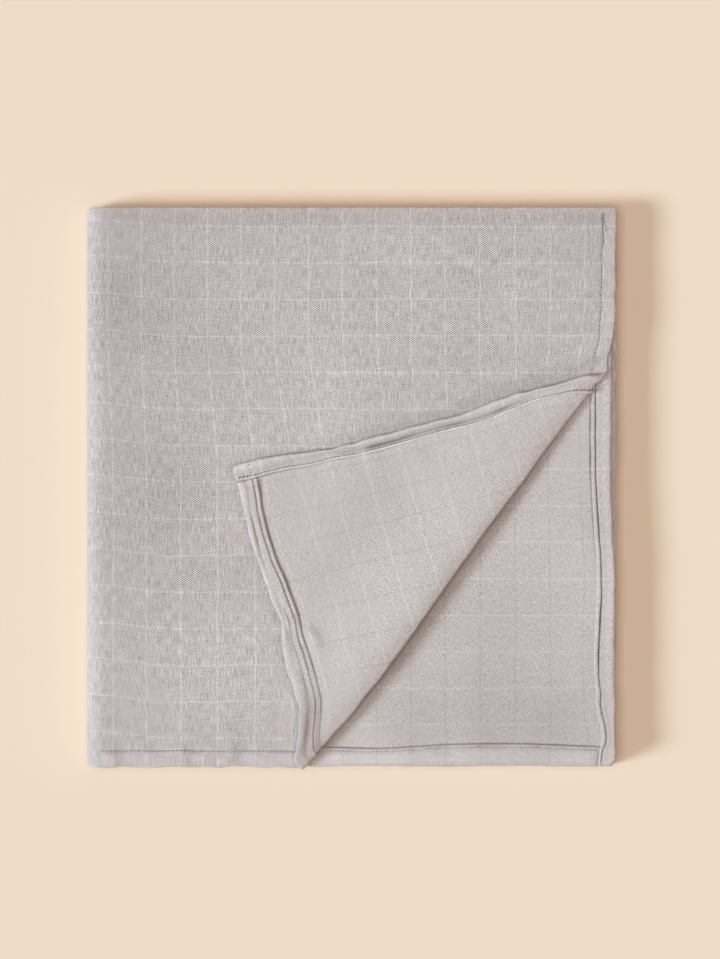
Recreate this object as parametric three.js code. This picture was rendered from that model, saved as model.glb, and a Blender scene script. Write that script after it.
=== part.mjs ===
import * as THREE from 'three';

// A muslin blanket, folded in four along its length and in four across its width, with one
// corner of the top layer turned back. Millimetres. X runs across the pile, Y along it, Z up.
// The origin is under the middle of the pile, on the surface that it lies on.

// Driving sizes.
const folded = { width: 286, length: 302.5 };
const cloth = { thickness: 1.0, gap: 0.3 };
const pitch = cloth.thickness + cloth.gap;
const half = { width: folded.width / 2, length: folded.length / 2 };
const skin = cloth.thickness / 2;

// The cloth is first folded lengthwise into a strip of four layers: the top layer `a` ends at
// the foot of the pile, `d` lies at the bottom, and `c` and `b` turn back between them.
const layers = 4;
const stripHeight = layers * pitch;
const stripReach = (layers - 1) / 2 * pitch;
const stripSkin = stripReach + skin;

// The strip is then folded the same way across, into the packs A (top), D, C and B.
// Radii to the middle of the cloth in the folds along the pile, and to the middle of the
// strip in the folds across it. An inset is how far a hidden fold stays inside the outline.
const radii = { cloth: pitch / 2, doubled: stripReach, strip: stripHeight / 2, packs: 1.5 * stripHeight };
const insets = { lengthHalfway: 1.4, lengthInner: 1.2, widthHalfway: 1.1, widthInner: 1.3 };
const outerFold = { y: half.length - radii.doubled - skin, x: -half.width + radii.packs + stripSkin };
const halfwayFold = {
  y: -half.length + radii.cloth + skin + insets.lengthHalfway,
  x: half.width - radii.strip - stripSkin - insets.widthHalfway,
};

// Folds of the cloth, in the order met from the end hem of layer `a`.
// at: centre of the half-round, climb: up (1) or down (-1), steps: flat facets round it.
const lengthFolds = [
  { name: 'outer', at: outerFold.y, radius: radii.doubled, climb: -1, steps: 6 },
  { name: 'halfway', at: halfwayFold.y, radius: radii.cloth, climb: 1, steps: 3 },
  { name: 'inner', at: outerFold.y - insets.lengthInner, radius: radii.cloth, climb: 1, steps: 3 },
];

// Folds of the strip, in the order met from the side hem of pack A.
const widthFolds = [
  { name: 'outer', at: outerFold.x, radius: radii.packs, climb: -1, steps: 8 },
  { name: 'halfway', at: halfwayFold.x, radius: radii.strip, climb: 1, steps: 4 },
  { name: 'inner', at: outerFold.x + insets.widthInner, radius: radii.strip, climb: 1, steps: 4 },
];

// Hems that end inside the outline: the end hem of layer `b`, and the side hem of pack B.
const hemInsets = { end: 0.6, side: 1.4 };

// Where the flat runs are creased between their folds, so that they can rise and sag.
const topCreases = { across: [-108, -66, -24, 12, 42, 72, 108], along: [-110, -68, -26, 10, 40, 66, 100] };
const innerCreases = { across: [-66, 12, 72], along: [-68, 10, 66] };

// The folded edge is pressed lower than the rest of the pile.
const pressedEdge = { from: half.length - 12, share: 0.13 };

// Long shallow waves of the whole pile. rise: share of the height, heading and phase in degrees.
const waves = [
  { length: 330, heading: 25, rise: 0.016, phase: 40 },
  { length: 260, heading: 112, rise: 0.012, phase: 205 },
];

// The hem of the layer under the turned corner stands out past this distance from the line
// where the corner rolls up, and comes to its full height over the next one.
const uncovered = { from: 7.5, over: 5 };

// A hem: the edge is turned to the reverse and sewn. fromEdge and height are shares of the
// sewn distance and of the hem's full height.
const hem = { side: 7.4, end: 8.8, height: 0.9 };
const hemProfile = [
  { name: 'edge', fromEdge: 0, height: 0.4 },
  { name: 'crown', fromEdge: 0.17, height: 0.95 },
  { name: 'shoulder', fromEdge: 0.84, height: 1 },
  { name: 'seam', fromEdge: 1, height: 0.3 },
  { name: 'lip', fromEdge: 1.14, height: 0.85 },
  { name: 'lip end', fromEdge: 1.36, height: 0.7 },
  { name: 'step', fromEdge: 1.41, height: 0 },
];

// How far the side hem of pack A stands out past the outline of the pile, layer by layer, and
// how far into the cloth that reaches.
const overhangReach = 60;
const sideOverhang = [
  { layer: 'a', y: -151, out: 0 },
  { layer: 'a', y: 40, out: -0.3 },
  { layer: 'a', y: 75, out: -0.6 },
  { layer: 'a', y: 148, out: 0 },
  { layer: 'd', y: 120, out: -0.2 },
  { layer: 'd', y: -148, out: -1.2 },
  { layer: 'c', y: -60, out: -0.3 },
  { layer: 'c', y: 60, out: 0 },
  { layer: 'c', y: 146, out: 0 },
  { layer: 'b', y: 100, out: -2.6 },
  { layer: 'b', y: 0, out: -3.5 },
  { layer: 'b', y: -52, out: -1.2 },
  { layer: 'b', y: -150, out: -0.2 },
];

// The turned-back corner of the top layer. The fold shows from `foot`, on the end hem, to
// `side`, on the side hem. bow: how far it bends out of the straight line between them.
const turned = {
  foot: new THREE.Vector2(-27.2, -151.3),
  side: new THREE.Vector2(131.8, 55),
  radius: 2.5,
  steps: 6,
  rest: pitch + 0.15,
  settleOver: 36,
  settleSteps: 3,
  bowReach: 45,
};
const turnedBow = [
  { along: 5, bow: 0 },
  { along: 42, bow: 3.4 },
  { along: 81, bow: 3.2 },
  { along: 135, bow: 0.6 },
  { along: 236, bow: -0.8 },
  { along: 260, bow: -2.4 },
];

// How far the turned hems draw in, measured from the corner along each hem, and how far into
// the cloth that reaches.
const drawReach = 70;
const endHemDraw = [
  { along: 0, draw: 0 },
  { along: 30, draw: 0.8 },
  { along: 68, draw: 5.2 },
  { along: 108, draw: 8 },
  { along: 145, draw: 5 },
  { along: 172, draw: 0 },
];
const sideHemDraw = [
  { along: 0, draw: 0 },
  { along: 58, draw: 3.2 },
  { along: 100, draw: 2.6 },
  { along: 165, draw: -1.4 },
  { along: 205, draw: 0 },
];

const ease = (share) => THREE.MathUtils.smoothstep(share, 0, 1);

// Eased value between the rows of a table.
function tableValue(rows, key, column, at) {
  if (at <= rows[0][key]) return rows[0][column];
  for (let i = 1; i < rows.length; i += 1) {
    const [low, high] = [rows[i - 1], rows[i]];
    if (at <= high[key]) {
      const share = ease((at - low[key]) / (high[key] - low[key]));
      return THREE.MathUtils.lerp(low[column], high[column], share);
    }
  }
  return rows[rows.length - 1][column];
}

// A folded strip seen on edge: straight runs joined by half-round folds. faceSide is 1 where
// the outer face is to the left of the way along it, and -1 where it is to the right.
function foldedPath({ start, height, end, folds, faceSide }) {
  const pieces = [];
  let [position, level, distance] = [start, height, 0];
  let heading = Math.sign(folds[0].at - start);
  const addRun = (to) => {
    const length = Math.abs(to - position);
    pieces.push({ kind: 'run', from: distance, length, position, level, heading });
    distance += length;
  };
  for (const fold of folds) {
    addRun(fold.at);
    const length = Math.PI * fold.radius;
    pieces.push({ kind: 'fold', from: distance, length, position: fold.at, level, heading, fold });
    distance += length;
    position = fold.at;
    level += 2 * fold.radius * fold.climb;
    heading = -heading;
  }
  addRun(end);

  function at(where) {
    const piece = pieces.find((item) => where <= item.from + item.length) ?? pieces[pieces.length - 1];
    const past = where - piece.from;
    let point = [piece.position + piece.heading * past, piece.level];
    let way = [piece.heading, 0];
    if (piece.kind === 'fold') {
      const { radius, climb } = piece.fold;
      const angle = past / radius;
      const outwards = piece.heading * radius * Math.sin(angle);
      point = [piece.position + outwards, piece.level + climb * radius * (1 - Math.cos(angle))];
      way = [piece.heading * Math.cos(angle), climb * Math.sin(angle)];
    }
    return { point, normal: [-faceSide * way[1], faceSide * way[0]] };
  }

  function distanceIn(run, where) {
    return run.from + Math.abs(where - run.position);
  }

  const runs = pieces.filter((piece) => piece.kind === 'run');
  const bends = pieces.filter((piece) => piece.kind === 'fold');
  return { runs, bends, total: distance, at, distanceIn };
}

const lengthPath = foldedPath({
  start: -half.length,
  height: stripReach,
  end: -half.length + hemInsets.end,
  folds: lengthFolds,
  faceSide: 1,
});
const widthPath = foldedPath({
  start: half.width,
  height: stripSkin + 2 * radii.packs,
  end: half.width - hemInsets.side,
  folds: widthFolds,
  faceSide: -1,
});
const [runOfA, runOfD, runOfC, runOfB] = lengthPath.runs;
const packA = widthPath.runs[0];
const layerRuns = { a: runOfA, d: runOfD, c: runOfC, b: runOfB };

const sideRows = sideOverhang.map((row) => ({
  along: lengthPath.distanceIn(layerRuns[row.layer], row.y),
  out: row.out,
}));

const turnedLine = turned.side.clone().sub(turned.foot);
const turnedWay = turnedLine.clone().normalize();
const turnedNormal = new THREE.Vector2(turnedWay.y, -turnedWay.x);
const rollLength = Math.PI * turned.radius;

// Distance past the line where the cloth begins to roll up, and the way along that line.
function fromRoll(x, y) {
  const reach = new THREE.Vector2(x, y).sub(turned.foot);
  return { past: reach.dot(turnedNormal) + turned.radius, along: reach.dot(turnedWay) };
}

const inCorner = (u, v) => u < packA.length && v < runOfA.length;
const flatX = (u) => half.width - u;
const flatY = (v) => -half.length + v;

// Share of the hem's height at a distance from the edge.
function hemShare(fromEdge, sewn) {
  const share = fromEdge / sewn;
  const next = hemProfile.findIndex((row) => row.fromEdge >= share);
  if (next < 0) return 0;
  if (next === 0) return hemProfile[0].height;
  const [low, high] = [hemProfile[next - 1], hemProfile[next]];
  const between = (share - low.fromEdge) / (high.fromEdge - low.fromEdge);
  return THREE.MathUtils.lerp(low.height, high.height, between);
}

// Height of the hem on the reverse. It is pressed flat wherever the cloth lies on it.
function hemHeight(u, v) {
  if (u > packA.length) return 0;
  const fromFoot = Math.min(v, lengthPath.total - v);
  const height = hem.height * Math.max(hemShare(u, hem.side), hemShare(fromFoot, hem.end));
  if (inCorner(u, v)) {
    const { past } = fromRoll(flatX(u), flatY(v));
    return height * ease((past - turned.radius) / turned.radius);
  }
  if (v > runOfB.from) {
    const y = -half.length + lengthPath.total - v;
    const { past, along } = fromRoll(flatX(u), y);
    const clear = past - tableValue(turnedBow, 'along', 'bow', along) - uncovered.from;
    return height * ease(clear / uncovered.over);
  }
  return 0;
}

// Places a point of the corner of the top layer, flat or turned back. w: height over the
// middle of the cloth, towards its face.
function turnCorner(x, y, level, w) {
  const cornerX = half.width - x;
  const cornerY = y + half.length;
  const start = fromRoll(x, y).past;
  const loose = ease(start / (2 * rollLength));
  const endDraw = tableValue(endHemDraw, 'along', 'draw', cornerX) * (1 - ease(cornerY / drawReach));
  const sideDraw = tableValue(sideHemDraw, 'along', 'draw', cornerY) * (1 - ease(cornerX / drawReach));
  const { past, along } = fromRoll(x - loose * sideDraw, y + loose * endDraw);
  const bow = tableValue(turnedBow, 'along', 'bow', along) * (1 - ease(Math.abs(past) / turned.bowReach));
  let [reach, rise] = [past, w];
  if (past > rollLength) {
    const settled = ease((past - rollLength) / turned.settleOver);
    reach = rollLength - past;
    rise = THREE.MathUtils.lerp(2 * turned.radius, turned.rest, settled) - w;
  } else if (past > 0) {
    const angle = past / turned.radius;
    reach = (turned.radius - w) * Math.sin(angle);
    rise = turned.radius - (turned.radius - w) * Math.cos(angle);
  }
  const plan = turned.foot.clone()
    .addScaledVector(turnedNormal, reach - turned.radius + bow)
    .addScaledVector(turnedWay, along);
  return new THREE.Vector3(plan.x, plan.y, level + rise);
}

// Lets the pile rise and sag in long waves, and presses its folded edge.
function settle(point) {
  let share = 1;
  for (const wave of waves) {
    const heading = THREE.MathUtils.degToRad(wave.heading);
    const way = point.x * Math.cos(heading) + point.y * Math.sin(heading);
    const phase = 2 * Math.PI * way / wave.length + THREE.MathUtils.degToRad(wave.phase);
    share += wave.rise * Math.sin(phase);
  }
  const nearEdge = Math.max(0, (point.y - pressedEdge.from) / (half.length - pressedEdge.from));
  return point.setZ(point.z * share * (1 - pressedEdge.share * nearEdge));
}

// Place of a point of the cloth. u and v are measured on the flat cloth from its two free
// edges at the turned corner, and w towards the face.
function place(u, v, w) {
  const along = lengthPath.at(v);
  const across = widthPath.at(u);
  const y = along.point[0] + along.normal[0] * w;
  const height = along.point[1] + along.normal[1] * w;
  const nearSide = 1 - ease(u / overhangReach);
  const out = nearSide * tableValue(sideRows, 'along', 'out', v);
  const x = across.point[0] + across.normal[0] * height + out;
  const z = across.point[1] + across.normal[1] * height;
  const placed = inCorner(u, v) ? turnCorner(x, y, z - w, w) : new THREE.Vector3(x, y, z);
  return settle(placed);
}

// Lines that cut the flat cloth into cells, as distances along one way of it.
function cuts(path, creasesOf, hemEnds) {
  const places = [0, path.total, ...hemEnds];
  for (const run of path.runs) {
    for (const crease of creasesOf(run)) places.push(path.distanceIn(run, crease));
  }
  for (const bend of path.bends) {
    const step = bend.length / bend.fold.steps;
    for (let i = 0; i <= bend.fold.steps; i += 1) places.push(bend.from + step * i);
  }
  return places.sort((low, high) => low - high);
}

const hemLines = (sewn) => hemProfile.slice(1).map((row) => row.fromEdge * sewn);
const fromTheEnd = (distance) => lengthPath.total - distance;
const acrossCuts = cuts(
  widthPath,
  (run) => (run === packA ? topCreases.across : innerCreases.across),
  hemLines(hem.side),
);
const alongCuts = cuts(
  lengthPath,
  (run) => {
    const outerLayer = run === runOfA || run === runOfB;
    return [...(outerLayer ? topCreases : innerCreases).along, pressedEdge.from];
  },
  [...hemLines(hem.end), ...hemLines(hem.end).map(fromTheEnd)],
);

// Splits a cell along a slanting line. distanceTo gives a corner's distance from that line,
// and corners closer than `onLine` count as on it.
const onLine = 0.2;
function splitCell(cell, distanceTo) {
  const sides = cell.map((corner) => {
    const distance = distanceTo(corner);
    return Math.abs(distance) < onLine ? 0 : distance;
  });
  if (!sides.some((side) => side > 0) || !sides.some((side) => side < 0)) return [cell];
  const [front, back] = [[], []];
  cell.forEach((corner, i) => {
    const next = (i + 1) % cell.length;
    if (sides[i] >= 0) front.push(corner);
    if (sides[i] <= 0) back.push(corner);
    if (sides[i] * sides[next] < 0) {
      const share = sides[i] / (sides[i] - sides[next]);
      const crossing = corner.map((value, k) => THREE.MathUtils.lerp(value, cell[next][k], share));
      front.push(crossing);
      back.push(crossing);
    }
  });
  return [front, back];
}

// Lines across the turned corner: round its roll, and where the flap settles.
const rollLines = [];
for (let i = 0; i <= turned.steps; i += 1) rollLines.push(rollLength * i / turned.steps);
for (let i = 1; i <= turned.settleSteps; i += 1) {
  rollLines.push(rollLength + turned.settleOver * i / turned.settleSteps);
}

function clothCells() {
  const cells = [];
  for (let i = 1; i < acrossCuts.length; i += 1) {
    for (let k = 1; k < alongCuts.length; k += 1) {
      const [u0, u1, v0, v1] = [acrossCuts[i - 1], acrossCuts[i], alongCuts[k - 1], alongCuts[k]];
      let pieces = [[[u0, v0], [u1, v0], [u1, v1], [u0, v1]]];
      if (inCorner(u0, v0)) {
        for (const line of rollLines) {
          const distanceTo = ([u, v]) => fromRoll(flatX(u), flatY(v)).past - line;
          pieces = pieces.flatMap((piece) => splitCell(piece, distanceTo));
        }
      }
      cells.push(...pieces);
    }
  }
  return cells;
}

// The cloth as one closed shell: its face, its reverse, and the rim that joins them.
function clothGeometry() {
  const decimals = 5;
  const numbers = new Map();
  const corners = [];
  const cornerNumber = ([u, v]) => {
    const key = `${u.toFixed(decimals)} ${v.toFixed(decimals)}`;
    if (!numbers.has(key)) {
      numbers.set(key, corners.length);
      corners.push([u, v]);
    }
    return numbers.get(key);
  };
  const cells = clothCells().map((cell) => cell.map(cornerNumber));
  const count = corners.length;
  const face = corners.map(([u, v]) => place(u, v, skin));
  const reverse = corners.map(([u, v]) => place(u, v, -skin - hemHeight(u, v)));

  const edges = new Set();
  for (const cell of cells) {
    cell.forEach((from, i) => edges.add(`${from} ${cell[(i + 1) % cell.length]}`));
  }
  const triangles = [];
  for (const cell of cells) {
    for (let i = 2; i < cell.length; i += 1) {
      const [p, q, r] = [cell[0], cell[i - 1], cell[i]];
      triangles.push(p, r, q);
      triangles.push(p + count, q + count, r + count);
    }
  }
  for (const edge of edges) {
    const [from, to] = edge.split(' ').map(Number);
    if (edges.has(`${to} ${from}`)) continue;
    triangles.push(from, to, to + count);
    triangles.push(from, to + count, from + count);
  }

  const geometry = new THREE.BufferGeometry();
  const positions = [...face, ...reverse].flatMap((point) => point.toArray());
  geometry.setAttribute('position', new THREE.Float32BufferAttribute(positions, 3));
  geometry.setIndex(triangles);
  geometry.computeVertexNormals();
  return geometry;
}

const muslin = new THREE.MeshStandardMaterial({ color: 0xc2bbb9, roughness: 0.95, metalness: 0 });

const blanket = new THREE.Mesh(clothGeometry(), muslin);
blanket.name = 'blanket';

const foldedBlanket = new THREE.Group();
foldedBlanket.add(blanket);

export default foldedBlanket;
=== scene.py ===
"""A muslin blanket, folded in four along its length and in four across its width, with one
corner of its top layer turned back.

The cloth is drawn flat first. u runs across it and v along it, from the two free edges that
meet at the turned corner, and w is the height over the middle of the cloth, towards its face.
It is then carried through its folds. Tables and working sizes are in millimetres, with X
across the pile, Y along it and Z up, and a finished mesh is in metres. Unless a table says
otherwise, its rows hold a place and the value there.
"""

import math
from collections import namedtuple

import bmesh
import bpy
import numpy as np
from bpy.props import FloatProperty, FloatVectorProperty, PointerProperty
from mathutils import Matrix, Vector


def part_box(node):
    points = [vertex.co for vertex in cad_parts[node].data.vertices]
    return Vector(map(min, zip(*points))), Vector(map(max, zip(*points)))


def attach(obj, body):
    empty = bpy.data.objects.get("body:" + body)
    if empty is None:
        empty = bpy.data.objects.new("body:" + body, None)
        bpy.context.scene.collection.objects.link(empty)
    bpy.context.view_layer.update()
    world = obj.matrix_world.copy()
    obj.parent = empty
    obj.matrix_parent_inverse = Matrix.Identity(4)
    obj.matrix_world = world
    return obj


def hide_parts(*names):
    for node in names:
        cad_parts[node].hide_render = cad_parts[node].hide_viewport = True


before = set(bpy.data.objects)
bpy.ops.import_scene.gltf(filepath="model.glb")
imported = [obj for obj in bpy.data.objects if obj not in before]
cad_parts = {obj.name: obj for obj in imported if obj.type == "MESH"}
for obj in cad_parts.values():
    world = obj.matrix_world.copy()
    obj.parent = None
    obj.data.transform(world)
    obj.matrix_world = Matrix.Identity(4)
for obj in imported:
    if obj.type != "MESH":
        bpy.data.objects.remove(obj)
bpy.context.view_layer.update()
blanket_low, blanket_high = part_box("blanket")

bl_info = {
    "name": "Folded muslin blanket",
    "version": (1, 0, 0),
    "blender": (4, 5, 0),
    "location": "3D View > Sidebar > Muslin",
    "description": "Makes a folded muslin blanket with sewn hems and one corner turned back",
    "category": "Object",
}

MM = 0.001

# Layers of the lengthwise folding, from the top: `a`, `b`, `c` and `d`. Packs of the crosswise
# folding, from the top: A, B, C and D. The cloth runs a, d, c, b and A, D, C, B.
LAYERS = 4
PATH_ZONES = ("first", "outer", "second", "halfway", "third", "inner", "fourth")
LAYER_ZONES = {"a": "first", "d": "second", "c": "third", "b": "fourth"}

# How far each hidden fold and each lower hem stays inside the outline.
INSETS = {"length_halfway": 1.4, "length_inner": 1.2, "width_halfway": 1.1, "width_inner": 1.3}
HEM_INSETS = {"end": 0.6, "side": 1.4}

# The folded edge is pressed lower than the rest of the pile.
PRESSED_EDGE_WIDTH = 11.0
PRESSED_EDGE_SHARE = 0.16
PRESSED_EDGE_START = 3.0

# Long shallow waves of the whole pile. rise: share of the height, heading and phase in degrees.
Wave = namedtuple("Wave", "length heading rise phase")
WAVES = (Wave(330, 25, 0.016, 40), Wave(260, 112, 0.012, 205))

# How far the side hem of pack A stands out past the outline, by rows of Y for each layer.
OVERHANG_REACH = 60.0
SIDE_OVERHANG = {
    "a": (
        (-151, 0), (-60, -3), (0, -5), (40, -6.5), (57, -6.2), (68, -4.2), (80, -2), (100, -0.5),
        (148, 0),
    ),
    "d": ((120, -0.2), (-148, -1.2)),
    "c": ((-60, -0.3), (60, 0), (146, 0)),
    "b": ((100, -2), (0, -2.7), (-52, -0.8), (-150, -0.2)),
}

# The line on which the corner of the top layer is turned back, from the end hem to the side
# hem, and how far the fold bends out of it, by the distance along it. The bend fades away from
# the line.
TURNED_FOOT = np.array([-27.2, -151.3])
TURNED_SIDE = np.array([131.8, 55.0])
BOW_REACH = 45.0
TURNED_BOW = (
    (0, 0), (16, 2.1), (41, 3.6), (80, 3.5), (110, 2.9), (140, 1.5), (170, 0.6), (205, 0),
    (236, -0.6), (255, -0.6), (264, -0.7), (288, 0),
)
KINK_REACH = 9.0

# How far the turned hems draw in, by the distance from the corner. The draw grows over the
# first stretch past the fold, and fades away from the hem.
LOOSE_OVER = 9.0
DRAW_REACH = 70.0
END_HEM_DRAW = (
    (0, 3.9), (18, 4.5), (38, 4.2), (58, 5.3), (78, 6.6), (92, 8.3), (102, 6.2), (112, 5),
    (124, 5.4), (138, 5.1), (150, 1.1), (160, -2.4), (168, -7.5),
)
SIDE_HEM_DRAW = ((0, 2), (20, 1.8), (50, 4.4), (90, 3.7), (130, 2.1), (165, -1.6), (195, -1.9))

# How much further into the cloth a seam runs than it should: in the turned hems, by the
# distance from the corner, and under the corner, by Y along the side and by X along the foot.
TURNED_SIDE_SEAM = ((0, 0.4), (15, 0.6), (60, -2.1), (84, -0.9), (117, -1.4), (154, -0.4), (172, -2.2))
TURNED_END_SEAM = (
    (8, 0.2), (42, -1.5), (60, -1.3), (74, -0.1), (95, -0.4), (110, 2.4), (127, 1.6), (140, 0.5),
    (153, -0.2),
)
UNDER_SIDE_SEAM = (
    (-148, 0.3), (-142, -0.5), (-137.5, -2.5), (-132.5, -1.8), (-126.5, -1.1), (-122.5, 0.4),
    (-112, 0.5), (-102, 1.6), (-91.5, 1.6), (-71, 0.4), (-56, -0.2), (-40, 0), (-17, 0.4),
    (9, 1.2), (47, 1.5),
)
UNDER_FOOT_SEAM = ((-15, -0.4), (18, -0.9), (50, 1), (87, 1.5), (132, 0))

# A seam wanders between the edge and the inner side of its hem. start and over: the distances
# from the edge over which that fades in, and from far on over which it fades out.
SeamZone = namedtuple("SeamZone", "start far over")
SIDE_SEAM_ZONE = SeamZone(5, 11, 14)
END_SEAM_ZONE = SeamZone(5, 13, 14)
SEAM_LOOSENS_OVER = 16.0
UNDER_WANDER = 0.8
EDGE_WANDER_REACH = 7.0

# Section of the corner's fold. The top layer lifts off the one under it over some distance
# before the fold, by a lift that changes along the fold. Past the tight fold the flap slopes up
# from its edge, levels out, and then comes to rest.
LIFT_OVER = 28.0
FOLD_LIFT = (
    (0, 3.2), (36, 4.6), (75, 6), (130, 5.7), (170, 4.9), (200, 3.6), (230, 2.1), (262, 1.5),
)
EDGE_SLOPE = math.radians(24.0)
LEVEL_OVER = 7.0
SETTLE_FROM = 4.0
SETTLE_OVER = 44.0
REST_GAP = 0.5
SECTION_STEP = 0.05

# The hem's edge curls up next to the lower end of the fold, over distances from the corner.
HEM_CURL = 3.6
HEM_CURL_FROM = 116.0
HEM_CURL_OVER = 34.0

# Section of a turned and sewn hem: rows of the distance from the edge, as a share of the
# distance to the seam, and of the share of the hem's full height.
TURNED_SIDE_PROFILE = (
    (0, 0.85), (0.14, 1), (0.36, 1), (0.52, 0.6), (0.66, 0.2), (0.8, 0.06), (1, 0), (1.02, 0.45),
    (1.07, 0.85), (1.155, 0.92), (1.175, 0.78), (1.19, -0.1), (1.25, -0.12), (1.42, 0),
)
UNDER_SIDE_PROFILE = (
    (0, 0.9), (0.2, 1), (0.55, 0.84), (0.86, 0.9), (0.945, 0.7), (0.98, 0.2), (1, 0.1),
    (1.02, 0.35), (1.055, 0.85), (1.2, 0.98), (1.27, 0.82), (1.29, -0.1), (1.35, -0.12), (1.5, 0),
)
END_HEM_PROFILE = (
    (0, 0.66), (0.08, 0.84), (0.45, 1), (0.58, 0.8), (0.72, 0.84), (0.92, 0.9), (0.965, 0.66),
    (1, 0.4), (1.02, 0.62), (1.055, 0.9), (1.24, 1), (1.275, 0.86), (1.29, -0.14), (1.35, -0.14),
    (1.5, 0),
)
FOOT_HEM_PROFILE = (
    (0, 0.6), (0.2, 0.7), (0.5, 0.6), (0.8, 0.66), (0.93, 0.56), (0.985, 0.36), (1, 0.32),
    (1.03, 0.5), (1.09, 0.66), (1.165, 0.6), (1.18, -0.12), (1.24, -0.12), (1.38, 0),
)
HEM_EDGE_ROUND = 1.1
HEM_EDGE_LINES = (0.0, 0.03, 0.12, 0.28, 0.52, 0.8)
CORNER_ROUND = 1.2
CORNER_ROUND_REACH = 4.0

# A side hem's section ends at these shares of the distance to its seam, and over the next
# stretch it meets the section of the end hem.
TURNED_SIDE_SPAN = 1.18
UNDER_SIDE_SPAN = 1.285
HEMS_MEET_OVER = 2.0

# How far the thick inner edge of a hem stands, as a share of its section, by the distance from
# the start of the hem. Where that edge lies low, the seam stands up beside it.
TURNED_END_LIP = ((0, 0.7), (90, 0.75), (112, 0.3), (165, 0.1))
UNDER_SIDE_LIP = ((0, 0.4), (105, 0.4), (135, 0.85), (175, 1))
LOOSE_SEAM = 0.6
LOOSE_SEAM_WIDTH = 0.12

# The cloth dips along the inner side of a free hem: how far, over what width, and where, as a
# share of the distance to the seam.
LIP_DIP = 0.42
LIP_DIP_WIDTH = 0.55
LIP_DIP_AT = {"turned side": 1.25, "turned end": 1.34, "under side": 1.34, "under foot": 1.23}
TURNED_SIDE_LIP = 0.6
LIP_STARTS_OVER = 3.0

# The thick corner of the flap is bumpy: how much, how wide the bumps are and how far they reach.
CORNER_BUMPS = 0.5
CORNER_BUMP_WIDTH = 3.4
CORNER_BUMPS_REACH = 9.0
CORNER_BUMP_SEED = 36

# Under other layers a hem is pressed to this height. Under the turned corner it stands out
# past this distance from the roll, and comes to its full height over the next one.
PRESSED_HEM = 0.22
UNCOVERED_FROM = -4.0
UNCOVERED_OVER = 5.0

# The turned corner's own hems come to their full height from just before the roll.
TURNED_FROM = -2.0
TURNED_OVER = 4.0

# The step where the side hem lies over the end of another hem: its height, and how far it
# reaches along each, as shares of the distance to the seam.
CORNER_HEM_EXTRA = 0.7
STEP_END = 1.0
STEP_END_OVER = 0.5
STEP_SIDE = 0.95
STEP_SIDE_OVER = 0.3

# Where a sewn hem lies with its face up, its band rises as far as its seam, which sinks. edge
# and over: where the band ends, as shares of the distance to the seam.
HEM_BAND_RISE = 0.4
HEM_BAND_EDGE = 0.85
HEM_BAND_OVER = 0.3
SEAM_DIP = -0.36
SEAM_DIP_WIDTH = 0.7

# Uneven lengths along an edge or a seam, as rows of the rise, the length of a bump and the seed.
SIDE_SWELL = ((0.2, 14, 15), (0.12, 5.5, 16))
END_SWELL = ((0.2, 16, 17), (0.12, 6, 18))
SIDE_SEAM_WANDER = ((0.25, 11, 11), (0.15, 4.5, 12))
END_SEAM_WANDER = ((0.3, 13, 13), (0.15, 5, 14))
SIDE_EDGE_WANDER = ((0.5, 6.5, 19),)
END_EDGE_WANDER = ((0.55, 6.5, 20),)
FOLD_KINKS = ((0.4, 13, 27), (0.2, 5, 28))

# Soft bumps of a sheet: their rise, their widths across and along, their seed and a shift.
Bumps = namedtuple("Bumps", "rise across along seed shift", defaults=((0, 0),))
TOP_BUMPS = (Bumps(0.42, 24, 38, 21, (7, 3)), Bumps(0.12, 9, 19, 22))
FLAP_BUMPS = (Bumps(0.4, 25, 27, 23), Bumps(0.14, 10, 10, 24))
UNDER_BUMPS = (Bumps(0.42, 13, 60, 25), Bumps(0.22, 27, 24, 26))
WASHED_TONE = (Bumps(0.012, 34, 41, 61), Bumps(0.01, 12, 15, 62))
# The next row makes the painted shade and light of the hem grooves uneven.
UNEVEN_PAINTED_GROOVES = (Bumps(0.45, 9, 9, 63),)
WARP_RIPPLE = (Bumps(0.4, 40, 60, 41),)
WEFT_RIPPLE = (Bumps(0.5, 60, 40, 42),)

# The top layer lies smooth near the fold between the packs, and it and the flap both do close
# to the corner's fold.
SMOOTH_EDGE = 4.0
SMOOTH_EDGE_OVER = 16.0
SMOOTH_BEFORE_FOLD = 8.0
SMOOTH_PAST_FOLD = 10.0

# Puckers that a seam draws: their length along it, their rise and their seed. They fade with
# the distance from the seam, into the cloth and across the hem. The flap's side hem has fewer
# away from its tip.
Pucker = namedtuple("Pucker", "length rise seed")
TOP_SIDE_PUCKER = Pucker(9, 0.2, 31)
TOP_END_PUCKER = Pucker(6.5, 1.3, 32)
FLAP_SIDE_PUCKER = Pucker(6, 0.9, 33)
FLAP_END_PUCKER = Pucker(12, 0.4, 34)
UNDER_FOOT_PUCKER = Pucker(7, 1, 35)
PUCKER_WIDTH = 26.0
PUCKER_FADE_IN_CLOTH = 9.0
PUCKER_FADE_IN_HEM = 12.0
SMOOTHER_HEM = 0.6
SMOOTHER_HEM_FROM = 70.0
SMOOTHER_HEM_OVER = 60.0

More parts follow.
